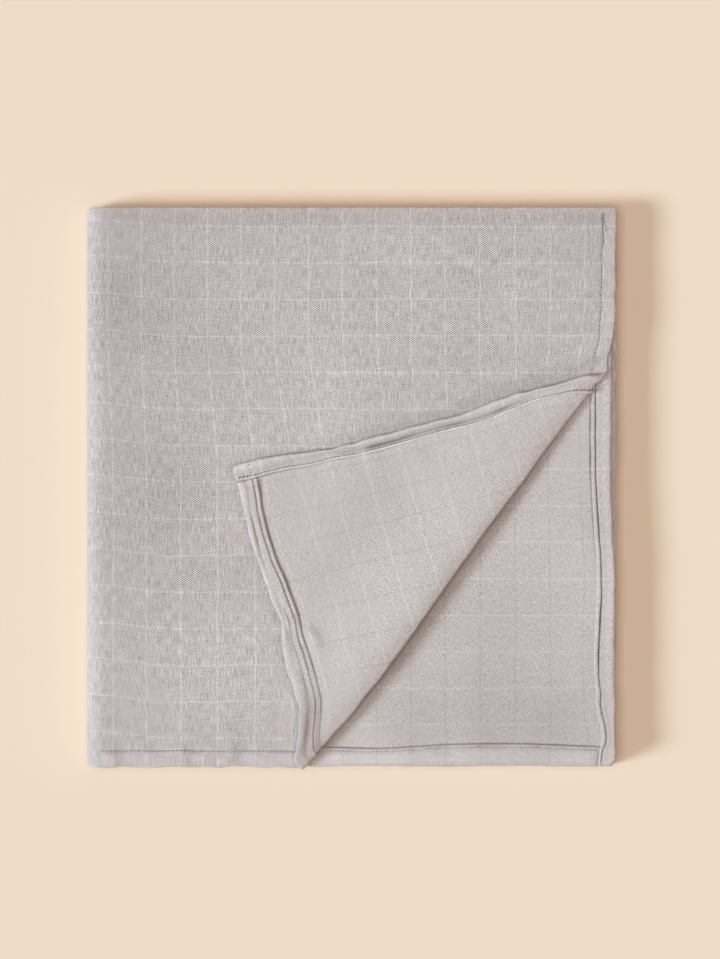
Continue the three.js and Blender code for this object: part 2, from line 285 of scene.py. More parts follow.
# Soft creases and ridges of what shows from above: the sheet that they are in, their width,
# and their points, each with its X, its Y and its rise.
Crease = namedtuple("Crease", "sheet width points")
CREASES = (
    Crease("top", 2, ((52, 125, 0), (60, 120.5, -1.3), (70, 115.5, -1.2), (78, 111.5, 0))),
    Crease("top", 2.4, ((54, 128, 0), (63, 123.6, 0.9), (72, 119.2, 0.8), (78, 116.5, 0))),
    Crease("flap", 0.8, (
        (-55.6, -8.5, 0), (-52.3, -21, -0.7), (-50.4, -29.6, -0.9), (-48.8, -36.7, -0.8),
        (-45, -47.4, -0.6), (-39.1, -61.4, -0.7), (-36.7, -67.9, -1.1), (-32.3, -84.6, -1),
        (-28.8, -97, -0.8), (-24, -108.9, 0),
    )),
    Crease("flap", 0.9, ((-48.2, 4.9, -0.9), (-49.3, 1.1, -0.9), (-48.8, -2.7, -0.5))),
    Crease("flap", 1.2, ((-30, -69.5, 0), (-27.9, -73.4, -1.3), (-26.8, -78, 0))),
    Crease("flap", 2.1, (
        (-29, -75.6, 0.9), (-24.6, -76.8, 1.9), (-21, -79.2, 2.3), (-19, -83, 2.1),
        (-18.9, -88, 1.1), (-20.2, -96, 0),
    )),
    Crease("flap", 4.5, ((-18, -66, 0), (-11, -77, -0.5), (-9, -90, -0.3), (-8, -104, 0))),
    Crease("under", 4.2, ((14, -124, 0), (18.5, -132, 1.2), (23, -141, 0.5), (25, -150, 0))),
    Crease("under", 5, ((40, -138, 0), (43, -144, 0.6), (44, -151, 0.4))),
)

# Slow patches of painted light and shade on the cloth, placed on a layer of the folded pile.
LightShadeSpot = namedtuple("LightShadeSpot", "layer x y reach share")
PAINTED_LIGHT_SPOTS = (
    LightShadeSpot("a", -106, 118, 58, -0.085), LightShadeSpot("a", -112, -8, 52, -0.08),
    LightShadeSpot("a", -26, 52, 50, 0.045), LightShadeSpot("a", -100, -120, 45, -0.03),
    LightShadeSpot("a", -128, 92, 30, -0.08), LightShadeSpot("a", -78, 132, 28, 0.06),
    LightShadeSpot("a", -72, -98, 34, 0.12), LightShadeSpot("a", -50, 0, 32, 0.05),
    LightShadeSpot("a", 130, 135, 20, -0.08), LightShadeSpot("a", 138, -146, 9, 0.1),
    LightShadeSpot("a", -5, -146, 16, -0.05), LightShadeSpot("b", 66, -128, 42, -0.1),
    LightShadeSpot("b", 110, -130, 22, -0.12), LightShadeSpot("b", 96, -85, 30, -0.035),
)

# Shade is painted into the cloth in the grooves of a free hem, and light is painted on its thick
# edges, which are also a little denser. at says where, as a share of the distance to the seam, and
# width how wide. share is the painted change, and along its strength, by the distance from the start of
# the hem.
Groove = namedtuple("Groove", "at width share along", defaults=(((0, 1), (400, 1)),))
TURNED_SIDE_GROOVES = (
    Groove(0.24, 1.3, 0.12),
    Groove(0.78, 1, -0.48, ((50, 0.2), (85, 1), (150, 1), (172, 0.2), (212, 0))),
    Groove(1.13, 0.55, 0.46, ((5, 0.3), (30, 0.7), (80, 1), (165, 1), (185, 0.4))),
    Groove(1.25, 0.5, -0.3, ((0, 1.2), (60, 0.9), (120, 0.5))),
)
TURNED_END_GROOVES = (
    Groove(0.15, 1.1, 0.16, ((0, 1), (110, 0.8), (130, 0.2))),
    Groove(0.55, 2, -0.06, ((110, 0), (128, 1), (150, 1), (165, 0.4))),
    Groove(0.57, 0.5, -0.42, ((80, 0), (86, 1), (124, 1), (134, 0.2))),
    Groove(0.995, 0.4, -0.16, ((0, 1), (100, 1), (116, 0.3))),
    Groove(1.34, 0.45, -0.62, ((8, 0.6), (22, 1), (84, 0.9), (110, 0.7), (160, 0.4))),
)
UNDER_SIDE_GROOVES = (
    Groove(0.5, 2.2, 0.03),
    Groove(0.985, 0.5, -0.45, (
        (25, 1), (47, 1.1), (65, 1.6), (90, 1.7), (108, 1), (133, 1.1), (160, 0.75), (187, 0.65),
    )),
    Groove(1.15, 0.6, 0.08),
    Groove(1.44, 1, -0.5, ((95, 0), (120, 0.4), (140, 0.8), (158, 1.5), (175, 1))),
)
UNDER_FOOT_GROOVES = (Groove(0.5, 3, 0.13), Groove(1.2, 0.4, -0.22))
FACE_SIDE_GROOVES = (Groove(0.45, 2.8, 0.06), Groove(1, 0.4, -0.26))
FACE_END_GROOVES = (Groove(0.45, 3, 0.11), Groove(1, 0.4, -0.06))
TURNED_GROOVES_SPAN = 1.3
UNDER_GROOVES_SPAN = 1.5
GROOVES_MEET_OVER = 1.5

# Shade is painted into the under layer in the nook under the corner's fold: by how much, as far
# as where past the fold, and over what distance it fades.
NOOK_SHADE = -0.3
NOOK_REACH = ((0, 0.3), (36, 0.4), (75, 2.6), (120, 1.6), (170, 1.8), (210, 1.6), (240, 0.8))
NOOK_FADE = 4.0

# Shade is painted into the top layer beside the hems of the flap.
BESIDE_FLAP_SHADE = -0.12
BESIDE_FLAP_FADE = 4.5

# Light is painted onto the cloth along the fold between the packs, where its round edge catches the
# light, and along the far fold of each: how much, how far past the start of the fold, and over what reach.
FOLD_HIGHLIGHT_SIDE = 0.24
FOLD_HIGHLIGHT_SIDE_PAST = 11.5
FOLD_HIGHLIGHT_SIDE_REACH = 5.0
FOLD_HIGHLIGHT_END = 0.4
FOLD_HIGHLIGHT_END_PAST = 2.2
FOLD_HIGHLIGHT_END_REACH = 1.6

NOISE_CELLS = 96


def ease(share):
    """Smooth step from 0 to 1."""
    share = np.clip(share, 0.0, 1.0)
    return share * share * (3.0 - 2.0 * share)


def fall(distance, reach):
    """Smooth step from 1 at distance 0 to 0 at the end of its reach."""
    return 1.0 - ease(distance / reach)


def dip(distance, width, depth):
    """A narrow round dip or ridge at distance 0."""
    return depth * np.exp(-((distance / width) ** 2))


def table_steps(rows, at):
    """For each place, the rows of a table below and above it and its share of the way."""
    places, values = np.asarray(rows, float).T
    at = np.clip(at, places[0], places[-1])
    upper = np.clip(np.searchsorted(places, at), 1, len(places) - 1)
    length = places[upper] - places[upper - 1]
    return places, values, upper, length, (at - places[upper - 1]) / length


def table_value(rows, at):
    """Eased value between the rows of a table."""
    _, values, upper, _, share = table_steps(rows, at)
    share = ease(share)
    return values[upper - 1] * (1.0 - share) + values[upper] * share


def curve_value(rows, at):
    """Value of the smooth curve through the rows of a table."""
    places, values, upper, length, share = table_steps(rows, at)
    slopes = np.gradient(values, places)
    bend = share * (1.0 - share) * length
    rise = values[upper - 1] + (values[upper] - values[upper - 1]) * ease(share)
    return rise + bend * ((1.0 - share) * slopes[upper - 1] - share * slopes[upper])


def soft_noise(across, along, seed):
    """Smooth random relief between -1 and 1, with bumps about one unit wide."""
    lattice = np.random.default_rng(seed).uniform(-1.0, 1.0, (NOISE_CELLS, NOISE_CELLS))
    column = np.floor(across).astype(int)
    row = np.floor(along).astype(int)
    right = ease(across - column)
    up = ease(along - row)

    def knot(i, k):
        return lattice[(column + i) % NOISE_CELLS, (row + k) % NOISE_CELLS]

    low = knot(0, 0) * (1.0 - right) + knot(1, 0) * right
    high = knot(0, 1) * (1.0 - right) + knot(1, 1) * right
    return low * (1.0 - up) + high * up


def line_noise(rows, along):
    """Sum of uneven lengths along an edge or a seam."""
    return sum(rise * soft_noise(along / length, along * 0.0, seed) for rise, length, seed in rows)


def sheet_noise(kinds, x, y):
    """Sum of soft bumps over a sheet."""
    total = 0.0
    for bumps in kinds:
        across = x / bumps.across + bumps.shift[0]
        along = y / bumps.along + bumps.shift[1]
        total = total + bumps.rise * soft_noise(across, along, bumps.seed)
    return total


def seam_share(zone, distance):
    """How much a seam wanders at a distance from its edge."""
    return ease(distance / zone.start) * fall(distance - zone.far, zone.over)


def pucker(kind, along, from_edge, sewn):
    """Puckers that a seam draws, across it and fading away from it."""
    distance = from_edge - sewn
    fade = np.where(
        distance > 0.0,
        np.exp(-distance / PUCKER_FADE_IN_CLOTH),
        np.exp(distance / PUCKER_FADE_IN_HEM),
    )
    return kind.rise * fade * soft_noise(along / kind.length, from_edge / PUCKER_WIDTH, kind.seed)


def groove_painted_shade_and_light(grooves, from_edge, sewn, along):
    """Painted shade in the grooves of one hem, and painted light on its ridges."""
    return sum(
        table_value(groove.along, along) * dip(from_edge - groove.at * sewn, groove.width, groove.share)
        for groove in grooves
    )


def crease_rise(crease, x, y):
    """Rise of one soft crease over the points of the sheet that it is in."""
    best = np.zeros_like(x)
    for (x0, y0, rise0), (x1, y1, rise1) in zip(crease.points, crease.points[1:]):
        way_x, way_y = x1 - x0, y1 - y0
        share = ((x - x0) * way_x + (y - y0) * way_y) / (way_x ** 2 + way_y ** 2)
        share = np.clip(share, 0.0, 1.0)
        distance = np.hypot(x - x0 - share * way_x, y - y0 - share * way_y)
        rise = dip(distance, crease.width, rise0 + (rise1 - rise0) * share)
        best = np.where(np.abs(rise) > np.abs(best), rise, best)
    return best


Fold = namedtuple("Fold", "at radius climb")


class FoldedPath:
    """A folded strip seen on edge: straight runs joined by half-round folds."""

    def __init__(self, start, height, end, folds, face_side):
        self.face_side = face_side
        pieces = []
        position, level, distance = start, height, 0.0
        heading = math.copysign(1.0, folds[0].at - start)
        for fold in folds:
            run = abs(fold.at - position)
            pieces.append((distance, run, position, level, heading, 0.0, 0.0))
            bend = math.pi * fold.radius
            pieces.append((distance + run, bend, fold.at, level, heading, fold.radius, fold.climb))
            distance += run + bend
            position = fold.at
            level += 2.0 * fold.radius * fold.climb
            heading = -heading
        run = abs(end - position)
        pieces.append((distance, run, position, level, heading, 0.0, 0.0))
        self.total = distance + run
        columns = np.array(pieces).T
        self.starts, self.lengths, self.positions, self.levels = columns[:4]
        self.headings, self.radii, self.climbs = columns[4:]

    def at(self, where):
        """Position, level and the two parts of the normal at each distance along the path."""
        ends = self.starts + self.lengths
        zone = np.minimum(np.searchsorted(ends, where), len(ends) - 1)
        past = where - self.starts[zone]
        radius, heading, climb = self.radii[zone], self.headings[zone], self.climbs[zone]
        bent = radius > 0.0
        angle = np.where(bent, past / np.where(bent, radius, 1.0), 0.0)
        reach = np.where(bent, radius * np.sin(angle), past)
        position = self.positions[zone] + heading * reach
        level = self.levels[zone] + climb * radius * (1.0 - np.cos(angle))
        normal = (
            -self.face_side * climb * np.sin(angle) * bent,
            self.face_side * heading * np.cos(angle),
        )
        return position, level, normal

    def distance_in(self, zone_name, position):
        """Distance along the path of a position in one of its runs."""
        zone = PATH_ZONES.index(zone_name)
        return self.starts[zone] + abs(position - self.positions[zone])


class BlanketShape:
    """The blanket's folds, hems and relief, worked out from its settings."""

    def __init__(self, settings):
        self.thickness = settings.thickness / MM
        self.skin = self.thickness / 2.0
        self.half_width = settings.folded_width / MM / 2.0
        self.half_length = settings.folded_length / MM / 2.0
        self.pitch = settings.layer_pitch / MM
        self.side_hem = settings.side_hem / MM
        self.end_hem = settings.end_hem / MM
        self.hem_height = settings.hem_height / MM
        self.roll_radius = settings.corner_roll / MM
        self.roll_length = (math.pi - EDGE_SLOPE) * self.roll_radius
        way = TURNED_SIDE - TURNED_FOOT
        self.turned_way = way / np.linalg.norm(way)
        self.turned_normal = np.array([self.turned_way[1], -self.turned_way[0]])
        self.make_paths()

    def make_paths(self):
        """The two foldings, first lengthwise into a strip and then across into packs."""
        strip_height = LAYERS * self.pitch
        strip_reach = (LAYERS - 1) / 2.0 * self.pitch
        strip_skin = strip_reach + self.skin
        cloth_radius = self.pitch / 2.0
        strip_radius = strip_height / 2.0
        pack_radius = (LAYERS - 1) / 2.0 * strip_height
        outer_y = self.half_length - strip_reach - self.skin
        halfway_y = -self.half_length + cloth_radius + self.skin + INSETS["length_halfway"]
        outer_x = -self.half_width + pack_radius + strip_skin
        halfway_x = self.half_width - strip_radius - strip_skin - INSETS["width_halfway"]
        self.length_path = FoldedPath(
            start=-self.half_length,
            height=strip_reach,
            end=-self.half_length + HEM_INSETS["end"],
            folds=(
                Fold(outer_y, strip_reach, -1.0),
                Fold(halfway_y, cloth_radius, 1.0),
                Fold(outer_y - INSETS["length_inner"], cloth_radius, 1.0),
            ),
            face_side=1.0,
        )
        self.width_path = FoldedPath(
            start=self.half_width,
            height=strip_skin + 2.0 * pack_radius,
            end=self.half_width - HEM_INSETS["side"],
            folds=(
                Fold(outer_x, pack_radius, -1.0),
                Fold(halfway_x, strip_radius, 1.0),
                Fold(outer_x + INSETS["width_inner"], strip_radius, 1.0),
            ),
            face_side=-1.0,
        )
        self.side_rows = [
            (self.length_path.distance_in(LAYER_ZONES[layer], y), out)
            for layer, rows in SIDE_OVERHANG.items()
            for y, out in rows
        ]
        self.pack_length = self.width_path.lengths[0]
        self.layer_length = self.length_path.lengths[0]
        self.under_start = self.length_path.starts[-1]
        self.flat_width = self.width_path.total
        self.flat_length = self.length_path.total

    def from_roll(self, x, y):
        """Distance past the line where the corner begins to roll up, and along that line."""
        reach_x = x - TURNED_FOOT[0]
        reach_y = y - TURNED_FOOT[1]
        past = reach_x * self.turned_normal[0] + reach_y * self.turned_normal[1]
        along = reach_x * self.turned_way[0] + reach_y * self.turned_way[1]
        return past + self.roll_radius, along

    def at_roll(self, past, along):
        """X and Y of the points at these distances, the other way round."""
        reach = past - self.roll_radius
        x = TURNED_FOOT[0] + self.turned_normal[0] * reach + self.turned_way[0] * along
        y = TURNED_FOOT[1] + self.turned_normal[1] * reach + self.turned_way[1] * along
        return x, y

    def top_from_roll(self, u, v):
        """The same distances for a point of the flat top layer."""
        return self.from_roll(self.half_width - u, v - self.half_length)

    def under_from_roll(self, u, v):
        """The same distances for a point of the layer under it."""
        return self.from_roll(self.half_width - u, self.flat_length - v - self.half_length)

    def in_top(self, u, v):
        """True on the top layer of pack A, of which the corner is turned."""
        return (u < self.pack_length) & (v < self.layer_length)

    def in_under(self, u, v):
        """True on the layer that shows under the turned corner."""
        return (u < self.pack_length) & (v > self.under_start)

    def near_foot(self, v):
        """True on the half of the cloth whose end hem is the foot of the under layer."""
        return v > self.flat_length / 2.0

    def hem_share(self, u, v):
        """Share of a hem's height at each point, as its section gives it."""
        from_end = self.flat_length - v
        near_foot = self.near_foot(v)
        under = table_value(UNDER_SIDE_PROFILE, u / self.side_hem)
        side = np.where(near_foot, under, table_value(TURNED_SIDE_PROFILE, u / self.side_hem))
        under_lip = near_foot & (u > self.side_hem)
        side = side * np.where(under_lip, table_value(UNDER_SIDE_LIP, from_end), 1.0)
        far_side = table_value(UNDER_SIDE_PROFILE, (self.flat_width - u) / self.side_hem)
        end = table_value(END_HEM_PROFILE, v / self.end_hem)
        lip = table_value(TURNED_END_LIP, u)
        end = end * np.where(v > self.end_hem, lip, 1.0)
        near_seam = np.abs(v / self.end_hem - 1.0) < LOOSE_SEAM_WIDTH
        end = np.maximum(end, np.where(near_seam, LOOSE_SEAM * (1.0 - lip), 0.0))
        foot = table_value(FOOT_HEM_PROFILE, from_end / self.end_hem)
        side_reach = np.where(near_foot, UNDER_SIDE_SPAN, TURNED_SIDE_SPAN) * self.side_hem
        crosswise = np.where(near_foot, foot, end)
        meeting = u < side_reach + HEMS_MEET_OVER
        crosswise = np.where(meeting, np.maximum(crosswise, side), crosswise)
        return np.where(u < side_reach, side, np.where(crosswise == 0.0, far_side, crosswise))

    def swell(self, u, v):
        """Uneven height of the hems along their length, about 1."""
        return 1.0 + np.where(u < self.side_hem, line_noise(SIDE_SWELL, v), line_noise(END_SWELL, u))

    def corner_share(self, u, v):
        """Where the side hem lies over the end of another hem, in the corners of the cloth."""
        near_end = np.minimum(v, self.flat_length - v) / self.end_hem
        near_side = u / self.side_hem
        return fall(near_end - STEP_END, STEP_END_OVER) * fall(near_side - STEP_SIDE, STEP_SIDE_OVER)

    def stand(self, u, v):
        """Share from 0, where a hem is pressed between layers, to 1, where it stands free."""
        turned = ease((self.top_from_roll(u, v)[0] - TURNED_FROM) / TURNED_OVER)
        past, along = self.under_from_roll(u, v)
        clear = past - curve_value(TURNED_BOW, along) - UNCOVERED_FROM
        uncovered = ease(clear / UNCOVERED_OVER)
        return np.where(self.in_top(u, v), turned, np.where(self.in_under(u, v), uncovered, 0.0))

    def skins(self, u, v):
        """Heights of the face and of the reverse over the middle of the cloth."""
        stand = self.stand(u, v)
        height = PRESSED_HEM + (self.hem_height * self.swell(u, v) - PRESSED_HEM) * stand
        hem = height * self.hem_share(u, v) + CORNER_HEM_EXTRA * stand * self.corner_share(u, v)
        nearest = np.minimum(np.minimum(u, self.flat_width - u), np.minimum(v, self.flat_length - v))
        edge = np.clip(nearest / HEM_EDGE_ROUND, 0.0, 1.0)
        half = (self.thickness + hem) / 2.0 * np.sqrt(1.0 - (1.0 - edge) ** 2)
        return half - hem / 2.0, -half - hem / 2.0

    def tone(self, u, v, reverse):
        """How light the cloth is on its face or on its reverse, about 1: its random tone with painted
        light and shade.
        """
        tone = 1.0 + sheet_noise(WASHED_TONE, u, v)
        # Patches of painted light and shade.
        for spot in PAINTED_LIGHT_SPOTS:
            spot_v = self.length_path.distance_in(LAYER_ZONES[spot.layer], spot.y)
            away = np.hypot(u - self.half_width + spot.x, v - spot_v)
            tone = tone + dip(away, spot.reach, spot.share)
        # Painted highlight along the fold between the packs and along the far fold.
        tone = tone + dip(u - self.pack_length - FOLD_HIGHLIGHT_SIDE_PAST, FOLD_HIGHLIGHT_SIDE_REACH, FOLD_HIGHLIGHT_SIDE)
        tone = tone + dip(v - self.layer_length - FOLD_HIGHLIGHT_END_PAST, FOLD_HIGHLIGHT_END_REACH, FOLD_HIGHLIGHT_END)
        if reverse:
            return tone * (1.0 + self.hem_painted_shade_and_light(u, v)) * (1.0 + self.painted_nook_shade(u, v))
        change = groove_painted_shade_and_light(FACE_SIDE_GROOVES, u, self.side_hem, v)
        change = change + groove_painted_shade_and_light(FACE_END_GROOVES, v, self.end_hem, u)
        return tone * (1.0 + np.where(self.in_top(u, v), change + self.painted_shade_beside_flap(u, v), 0.0))

    def hem_painted_shade_and_light(self, u, v):
        """Painted shade in the grooves of the reverse's free hems, and painted light on their ridges."""
        near_foot = self.near_foot(v)
        from_end = self.flat_length - v
        side = np.where(
            near_foot,
            groove_painted_shade_and_light(UNDER_SIDE_GROOVES, u, self.side_hem, from_end),
            groove_painted_shade_and_light(TURNED_SIDE_GROOVES, u, self.side_hem, v),
        )
        end = np.where(
            near_foot,
            groove_painted_shade_and_light(UNDER_FOOT_GROOVES, from_end, self.end_hem, u),
            groove_painted_shade_and_light(TURNED_END_GROOVES, v, self.end_hem, u),
        )
        side_reach = np.where(near_foot, UNDER_GROOVES_SPAN, TURNED_GROOVES_SPAN) * self.side_hem
        change = np.where(u < side_reach, side, end * ease((u - side_reach) / GROOVES_MEET_OVER))
        return self.stand(u, v) * (1.0 + sheet_noise(UNEVEN_PAINTED_GROOVES, u, v)) * change

    def painted_shade_beside_flap(self, u, v):
        """Painted shade on the top layer close to the hems of the flap that lies on it."""
        past, along = self.top_from_roll(u, v)
        over = self.roll_length + self.roll_radius * math.sin(EDGE_SLOPE) - past
        flap_x, flap_y = self.at_roll(over, along)
        flap_u, flap_v = self.half_width - flap_x, flap_y + self.half_length
        off_side = curve_value(SIDE_HEM_DRAW, flap_v) - flap_u
        off_end = curve_value(END_HEM_DRAW, flap_u) - flap_v
        near = fall(np.maximum(off_side, off_end), BESIDE_FLAP_FADE)
        return np.where(past < 0.0, BESIDE_FLAP_SHADE * near, 0.0)

    def painted_nook_shade(self, u, v):
        """Painted shade on the under layer close to the corner's fold."""
        past, along = self.under_from_roll(u, v)
        clear = past - self.roll_radius - curve_value(TURNED_BOW, along)
        near = fall(clear - curve_value(NOOK_REACH, along), NOOK_FADE)
        return np.where(self.in_under(u, v), NOOK_SHADE * near, 0.0)

    def wander(self, u, v):
        """Lets the edges and the seams run a little out of straight."""
        from_end = self.flat_length - v
        to_end = np.minimum(v, from_end)
        past = self.top_from_roll(u, v)[0]
        turned = np.where(self.in_top(u, v), ease(past / SEAM_LOOSENS_OVER), 0.0)
        side = line_noise(SIDE_SEAM_WANDER, v) + turned * curve_value(TURNED_SIDE_SEAM, v)
        under = UNDER_WANDER * side + curve_value(UNDER_SIDE_SEAM, from_end - self.half_length)
        side = seam_share(SIDE_SEAM_ZONE, u) * np.where(self.in_under(u, v), under, side)
        end = line_noise(END_SEAM_WANDER, u) + turned * curve_value(TURNED_END_SEAM, u)
        end = seam_share(END_SEAM_ZONE, v) * end
        foot = seam_share(SIDE_SEAM_ZONE, from_end) * curve_value(UNDER_FOOT_SEAM, self.half_width - u)
        side_edge = line_noise(SIDE_EDGE_WANDER, v) * fall(u, EDGE_WANDER_REACH)
        end_edge = line_noise(END_EDGE_WANDER, u) * fall(to_end, EDGE_WANDER_REACH)
        corner = CORNER_ROUND * fall(u, CORNER_ROUND_REACH) * fall(to_end, CORNER_ROUND_REACH)
        end_corner = np.where(v < from_end, corner, -corner)
        return u + side + side_edge + corner, v + end - foot + end_edge + end_corner

    def flap_rise(self, past_fold, edge_rise):
        """Height of the flap at a distance past its fold, whose upper side lies at edge_rise."""
        sloping = np.clip(past_fold, 0.0, LEVEL_OVER)
        climb = math.tan(EDGE_SLOPE) * (sloping - sloping ** 2 / (2.0 * LEVEL_OVER))
        settled = ease((past_fold - SETTLE_FROM) / SETTLE_OVER)
        return (edge_rise + climb) * (1.0 - settled) + (self.pitch + REST_GAP) * settled

    def turned_section(self, past, lift):
        """Section of the turned corner: how far each point reaches, how high it lies and which
        way the cloth heads there, from 0 where it lies flat to half a turn on the flap."""
        radius = self.roll_radius

        def lying(at):
            return lift * ease(1.0 + at / LIFT_OVER)

        def turned(at):
            return self.flap_rise(at - self.roll_length, lift + radius * (1.0 + math.cos(EDGE_SLOPE)))

        def slope(height):
            return np.arctan((height(past + SECTION_STEP) - height(past)) / SECTION_STEP)

        angle = np.clip(past / radius, 0.0, math.pi - EDGE_SLOPE)
        before = past <= 0.0
        over = past > self.roll_length
        reach = np.where(before, past, radius * np.sin(angle))
        reach = np.where(over, reach - (past - self.roll_length), reach)
        rise = np.where(before, lying(past), lift + radius * (1.0 - np.cos(angle)))
        rise = np.where(over, turned(past), rise)
        heading = np.where(before, slope(lying), angle)
        return reach, rise, np.where(over, math.pi - slope(turned), heading)

    def turn_corner(self, x, y, level, w):
        """Places points of the top layer's corner, flat or turned back."""
        corner_x = self.half_width - x
        corner_y = y + self.half_length
        loose = ease(self.from_roll(x, y)[0] / LOOSE_OVER)
        end_draw = curve_value(END_HEM_DRAW, corner_x) * fall(corner_y, DRAW_REACH)
        side_draw = curve_value(SIDE_HEM_DRAW, corner_y) * fall(corner_x, DRAW_REACH)
        past, along = self.from_roll(x - loose * side_draw, y + loose * end_draw)
        bow = curve_value(TURNED_BOW, along) * fall(np.abs(past), BOW_REACH)
        bow = bow + line_noise(FOLD_KINKS, along) * fall(np.abs(past), KINK_REACH)
        reach, rise, heading = self.turned_section(past, curve_value(FOLD_LIFT, along))
        plan_x, plan_y = self.at_roll(reach - w * np.sin(heading) + bow, along)
        return plan_x, plan_y, level + rise + w * np.cos(heading), past

    def fold(self, u, v, w):
        """Carries points of the flat cloth through its folds. Also gives how far each is past
        the start of the corner's roll, which is below 0 away from it."""
        along_y, along_level, along_normal = self.length_path.at(v)
        across_x, across_level, across_normal = self.width_path.at(u)
        y = along_y + along_normal[0] * w
        height = along_level + along_normal[1] * w
        out = fall(u, OVERHANG_REACH) * table_value(self.side_rows, v)
        x = across_x + across_normal[0] * height + out
        z = across_level + across_normal[1] * height
        top = self.in_top(u, v)
        lying = (x, y, z, -self.half_width)
        turned = self.turn_corner(x, y, z - w, w)
        return [np.where(top, *places) for places in zip(turned, lying)]

    def relief(self, u, v, x, y, past):
        """Height of the wrinkles, puckers and creases at each point of what shows from above."""
        top = self.in_top(u, v)
        sheets = {
            "top": top & (past <= 0.0),
            "flap": top & (past > self.roll_length),
            "under": self.in_under(u, v),
        }
        heights = {
            "top": self.top_relief(u, v, x, y) * ease(-past / SMOOTH_BEFORE_FOLD),
            "flap": self.flap_relief(u, v, x, y) * ease((past - self.roll_length) / SMOOTH_PAST_FOLD),
            "under": self.under_relief(u, v, x, y) * self.stand(u, v),
        }
        height = np.zeros_like(x)
        for sheet, shown in sheets.items():
            height = np.where(shown, heights[sheet], height)
        for crease in CREASES:
            height = height + np.where(sheets[crease.sheet], crease_rise(crease, x, y), 0.0)
        return height

    def top_relief(self, u, v, x, y):
        """The top layer: soft waves, and its hems raised over the sunk seams."""
        smooth = ease((x + self.half_width - SMOOTH_EDGE) / SMOOTH_EDGE_OVER)
        hems = ((u, self.side_hem), (v, self.end_hem))
        bands = [HEM_BAND_RISE * fall(place / sewn - HEM_BAND_EDGE, HEM_BAND_OVER) for place, sewn in hems]
        seams = [dip(place - sewn, SEAM_DIP_WIDTH, SEAM_DIP) for place, sewn in hems]
        rise = sheet_noise(TOP_BUMPS, x, y) * smooth + np.maximum(*bands) + np.minimum(*seams)
        rise = rise + pucker(TOP_SIDE_PUCKER, v, u, self.side_hem)
        return rise + pucker(TOP_END_PUCKER, u, v, self.end_hem)

    def lip_dip(self, hem, from_edge, sewn):
        """The dip along the inner side of a free hem."""
        return dip(from_edge - LIP_DIP_AT[hem] * sewn, LIP_DIP_WIDTH, -LIP_DIP)

    def flap_relief(self, u, v, x, y):
        """The turned flap: loose waves, puckers at its seams and the curl of its hem."""
        near_tip = 1.0 - SMOOTHER_HEM * ease((v - SMOOTHER_HEM_FROM) / SMOOTHER_HEM_OVER)
        rise = sheet_noise(FLAP_BUMPS, x, y)
        rise = rise + near_tip * pucker(FLAP_SIDE_PUCKER, v, u, self.side_hem)
        rise = rise + pucker(FLAP_END_PUCKER, u, v, self.end_hem)
        near_corner = fall(np.hypot(u, v) - CORNER_BUMPS_REACH, CORNER_BUMPS_REACH)
        bumps = soft_noise(u / CORNER_BUMP_WIDTH, v / CORNER_BUMP_WIDTH, CORNER_BUMP_SEED)
        rise = rise + CORNER_BUMPS * near_corner * bumps
        side_lip = TURNED_SIDE_LIP * self.lip_dip("turned side", u, self.side_hem)
        end_lip = self.lip_dip("turned end", v, self.end_hem) * table_value(TURNED_END_LIP, u)
        end_lip = end_lip * ease((u - self.side_hem) / LIP_STARTS_OVER)
        curl = HEM_CURL * ease((u - HEM_CURL_FROM) / HEM_CURL_OVER) * fall(v, self.end_hem)
        return rise + np.minimum(side_lip, end_lip) + curl

    def under_relief(self, u, v, x, y):
        """The layer under the corner: upright waves, and puckers along its foot."""
        from_end = self.flat_length - v
        rise = sheet_noise(UNDER_BUMPS, x, y)
        rise = rise + pucker(UNDER_FOOT_PUCKER, u, from_end, self.end_hem)
        side_lip = self.lip_dip("under side", u, self.side_hem) * table_value(UNDER_SIDE_LIP, from_end)
        foot_lip = self.lip_dip("under foot", from_end, self.end_hem)
        return rise + np.minimum(side_lip, foot_lip * ease((u - self.side_hem) / LIP_STARTS_OVER))

    def settle(self, x, y, z):
        """Lets the pile rise and sag in long waves, and presses its folded edge."""
        share = 1.0
        for wave in WAVES:
            heading = math.radians(wave.heading)
            way = x * math.cos(heading) + y * math.sin(heading)
            turn = 2.0 * math.pi * way / wave.length + math.radians(wave.phase)
            share = share + wave.rise * np.sin(turn)
        near_edge = np.maximum(0.0, 1.0 + (y - self.half_length) / PRESSED_EDGE_WIDTH)
        near_edge = near_edge * ease(PRESSED_EDGE_START * near_edge)
        return z * share * (1.0 - PRESSED_EDGE_SHARE * near_edge)

    def place(self, u, v, w):
        """Places points of the cloth in the pile, as an array of rows of X, Y and Z."""
        drawn_u, drawn_v = self.wander(u, v)
        x, y, z, _ = self.fold(drawn_u, drawn_v, w)
        middle_x, middle_y, _, past = self.fold(drawn_u, drawn_v, np.zeros_like(w))
        z = z + self.relief(u, v, middle_x, middle_y, past)
        return np.column_stack((x, y, self.settle(x, y, z)))


# The net of cells that the flat cloth is cut into. A line belongs to the coarse net, the
# medium one or only the fine one, and each zone between two folds has its own fineness. A hem
# has lines of its own from HEM_LINES_START on, and even lines closer to them than the clearance
# are left out.
FINE, MEDIUM, COARSE = 0, 1, 2
FINE_CELL = 2.75
COARSE_EVERY = 6
MEDIUM_EVERY = 2
HEM_LINES_START = 1.0
HEM_LINE_STEP = 0.55
HEM_LINES_APART = 0.09
HEM_CLEARANCE = 0.8
NET_TOLERANCE = 0.01
RIM_TOLERANCE = 0.001
ROLL_LINE_STEP = 0.56
ROLL_LINES_PAST = 4.0
ROLL_MERGE = 0.1
FOLD_STEPS = {"outer": 14, "halfway": 8, "inner": 8}


